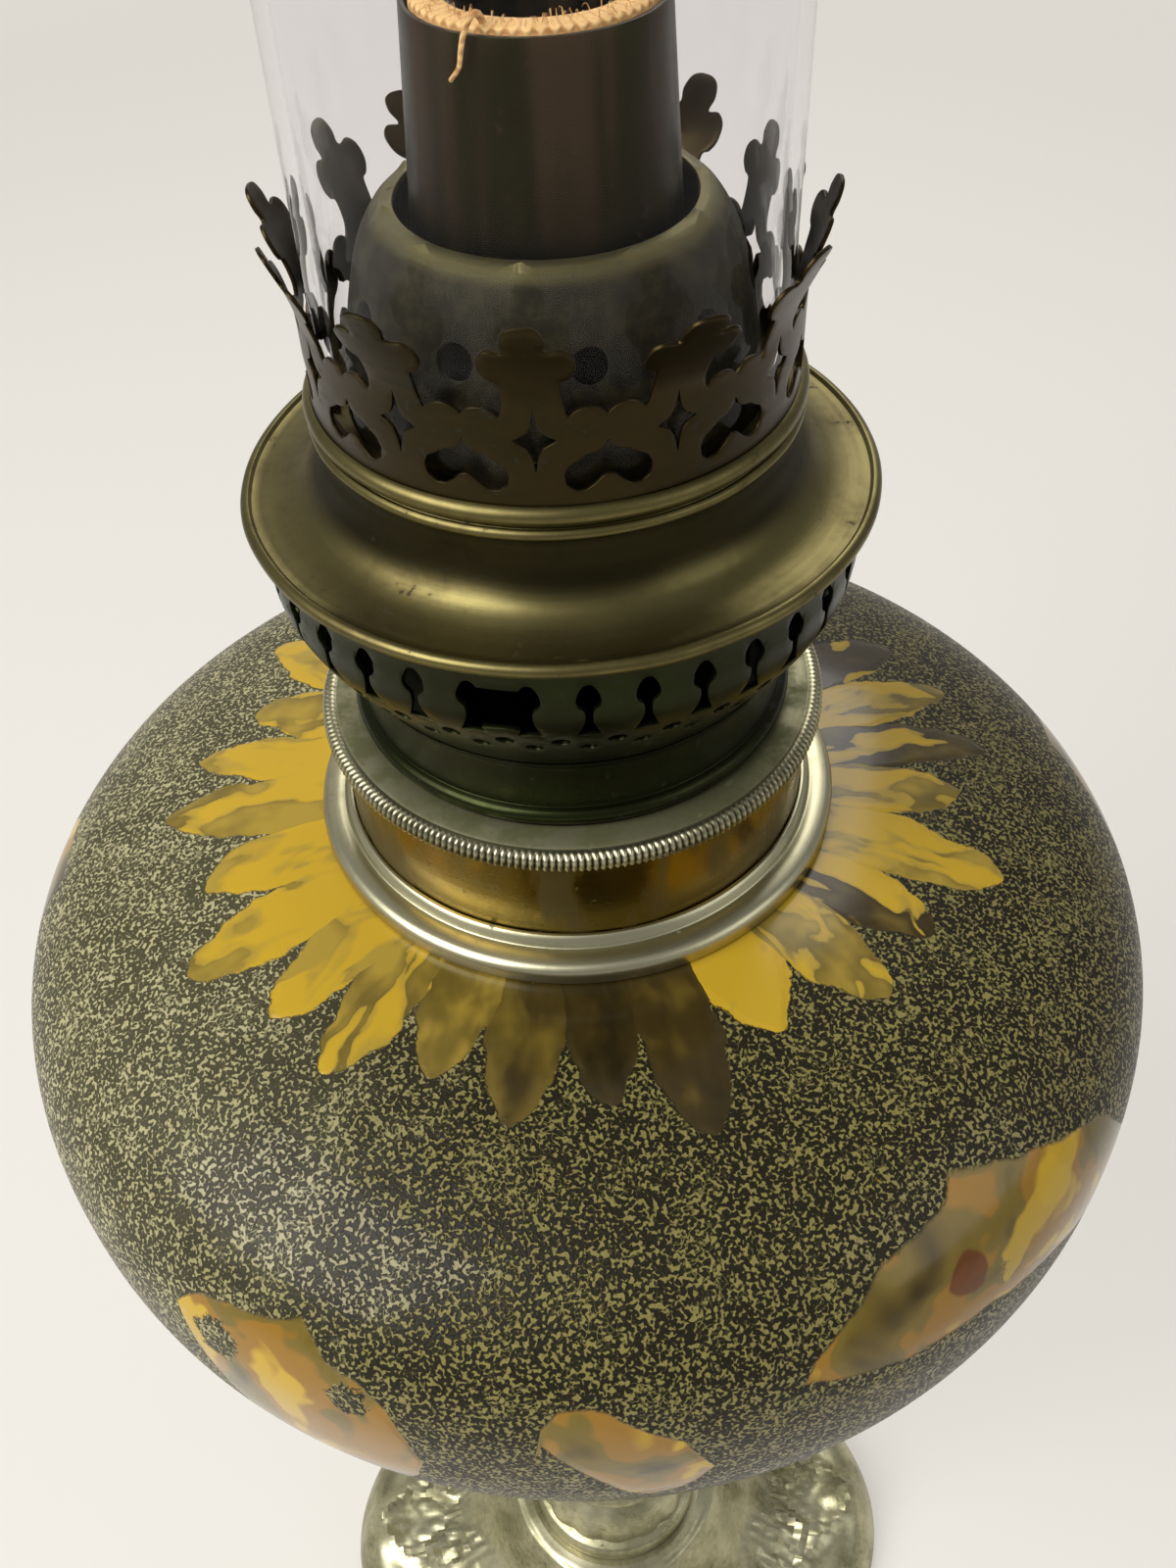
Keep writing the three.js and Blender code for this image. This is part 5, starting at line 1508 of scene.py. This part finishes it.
class LAMP_OT_stage(bpy.types.Operator):
    """Floor, backdrop, soft lamps and the camera"""
    bl_idname = "lamp.stage"
    bl_label = "Stage"

    def execute(self, context):
        self.backdrop(lamp_colours())
        self.lights(lamp_colours())
        self.camera()
        return {"FINISHED"}

    def backdrop(self, colours):
        """A floor that curves up into a wall behind, and fades into the room's colour far off."""
        line = [(-3.4, 0.0), (2.6, 0.0), *arc(2.6, 0.9, 0.9, -90, 0, 24), (3.5, 4.0)]
        vertices = [(x, y, z - 0.0005) for x in (-3.2, 3.2) for y, z in line]
        count = len(line)
        mesh = bpy.data.meshes.new("paper_sweep")
        faces = [[i, i + 1, count + i + 1, count + i] for i in range(count - 1)]
        mesh.from_pydata(vertices, [], faces)
        mesh.polygons.foreach_set("use_smooth", [True] * len(mesh.polygons))
        f = Finish("pale_paper")
        tone = colours["floor"]
        lit = f.node("ShaderNodeBsdfPrincipled", {"Base Color": tone, "Roughness": 0.9})
        flat = f.node("ShaderNodeEmission", {"Color": tone, "Strength": 1.0})
        haze = f.node("ShaderNodeEmission", {"Color": colours["backdrop"], "Strength": 1.0})
        looked_at = f.highest(f.ray("Camera"), f.ray("Transmission"))
        near = f.blended(f.highest(looked_at, f.ray("Glossy")) * 0.5, lit, flat)
        away = f.ramp(f.distance((0, 0, 0)), 1.0, 2.2)
        mesh.materials.append(f.closed(f.blended(looked_at * away, near, haze)))
        linked("paper_sweep", mesh)

    def lights(self, colours):
        """Three soft lamps, and a room that lights the lamp less than it shows."""
        room = Shader(bpy.data.worlds.new("plain_room"))
        colour, seen = colours["room_light"], colours["backdrop"]
        light = room.node("ShaderNodeBackground", {"Color": colour, "Strength": 0.32})
        shown = room.node("ShaderNodeBackground", {"Color": seen, "Strength": 1.0})
        looked_at = room.highest(room.ray("Camera"), room.ray("Transmission"))
        world = room.closed(room.blended(looked_at, light, shown), "World")
        bpy.context.scene.world = world
        for name, place, size, power in AREA_LIGHTS:
            lamp = bpy.data.lights.new(name, "AREA")
            lamp.size = size
            lamp.energy = power
            light = linked(name, lamp)
            light.location = place
            light.rotation_euler = (LIT_POINT - Vector(place)).to_track_quat("-Z", "Y").to_euler()

    def camera(self):
        """The photograph's camera."""
        level = Vector((math.cos(YAW), -math.sin(YAW), 0))
        ahead = Vector((math.sin(YAW), math.cos(YAW), 0))
        forward = math.cos(PITCH) * ahead - Vector((0, 0, math.sin(PITCH)))
        upright = level.cross(forward)
        right = math.cos(ROLL) * level + math.sin(ROLL) * upright
        up = -math.sin(ROLL) * level + math.cos(ROLL) * upright
        lens = bpy.data.cameras.new("photo_camera")
        lens.sensor_fit = "VERTICAL"
        lens.sensor_height = SENSOR_HEIGHT
        lens.lens = SENSOR_HEIGHT * FOCAL_PIXELS / PHOTO_HEIGHT
        lens.clip_start = 0.01
        eye = linked("photo_camera", lens)
        turned_eye = Matrix((right, up, -forward)).transposed().to_4x4()
        eye.matrix_world = Matrix.Translation(CAMERA_PLACE) @ turned_eye
        bpy.context.scene.camera = eye
        bpy.context.scene.view_settings.view_transform = "Standard"


OPERATORS = (
    LAMP_OT_foot, LAMP_OT_stem, LAMP_OT_font, LAMP_OT_collar, LAMP_OT_cap, LAMP_OT_cup,
    LAMP_OT_basket, LAMP_OT_tubes, LAMP_OT_wick, LAMP_OT_winder, LAMP_OT_gallery, LAMP_OT_crown,
    LAMP_OT_cone, LAMP_OT_chimney, LAMP_OT_stage,
)


class LAMP_PT_pieces(bpy.types.Panel):
    """Pieces of the lamp, in the sidebar"""
    bl_idname = "LAMP_PT_pieces"
    bl_label = "Kerosene Lamp"
    bl_space_type = "VIEW_3D"
    bl_region_type = "UI"
    bl_category = "Lamp"

    def draw(self, context):
        for group in (context.scene.lamp_sizes, context.scene.lamp_colours):
            box = self.layout.box()
            for name in group.__annotations__:
                box.prop(group, name)
        for operator in OPERATORS:
            self.layout.operator(operator.bl_idname)


CLASSES = (LampSizes, LampColours, *OPERATORS, LAMP_PT_pieces)


def register():
    for new_class in CLASSES:
        bpy.utils.register_class(new_class)
    bpy.types.Scene.lamp_sizes = bpy.props.PointerProperty(type=LampSizes)
    bpy.types.Scene.lamp_colours = bpy.props.PointerProperty(type=LampColours)


def unregister():
    FINISHES.clear()
    del bpy.types.Scene.lamp_colours
    del bpy.types.Scene.lamp_sizes
    for old_class in reversed(CLASSES):
        bpy.utils.unregister_class(old_class)


def main():
    """Builds every piece and the stage."""
    register()
    for operator in OPERATORS:
        group, name = operator.bl_idname.split(".")
        getattr(getattr(bpy.ops, group), name)()


if __name__ == "__main__":
    main()
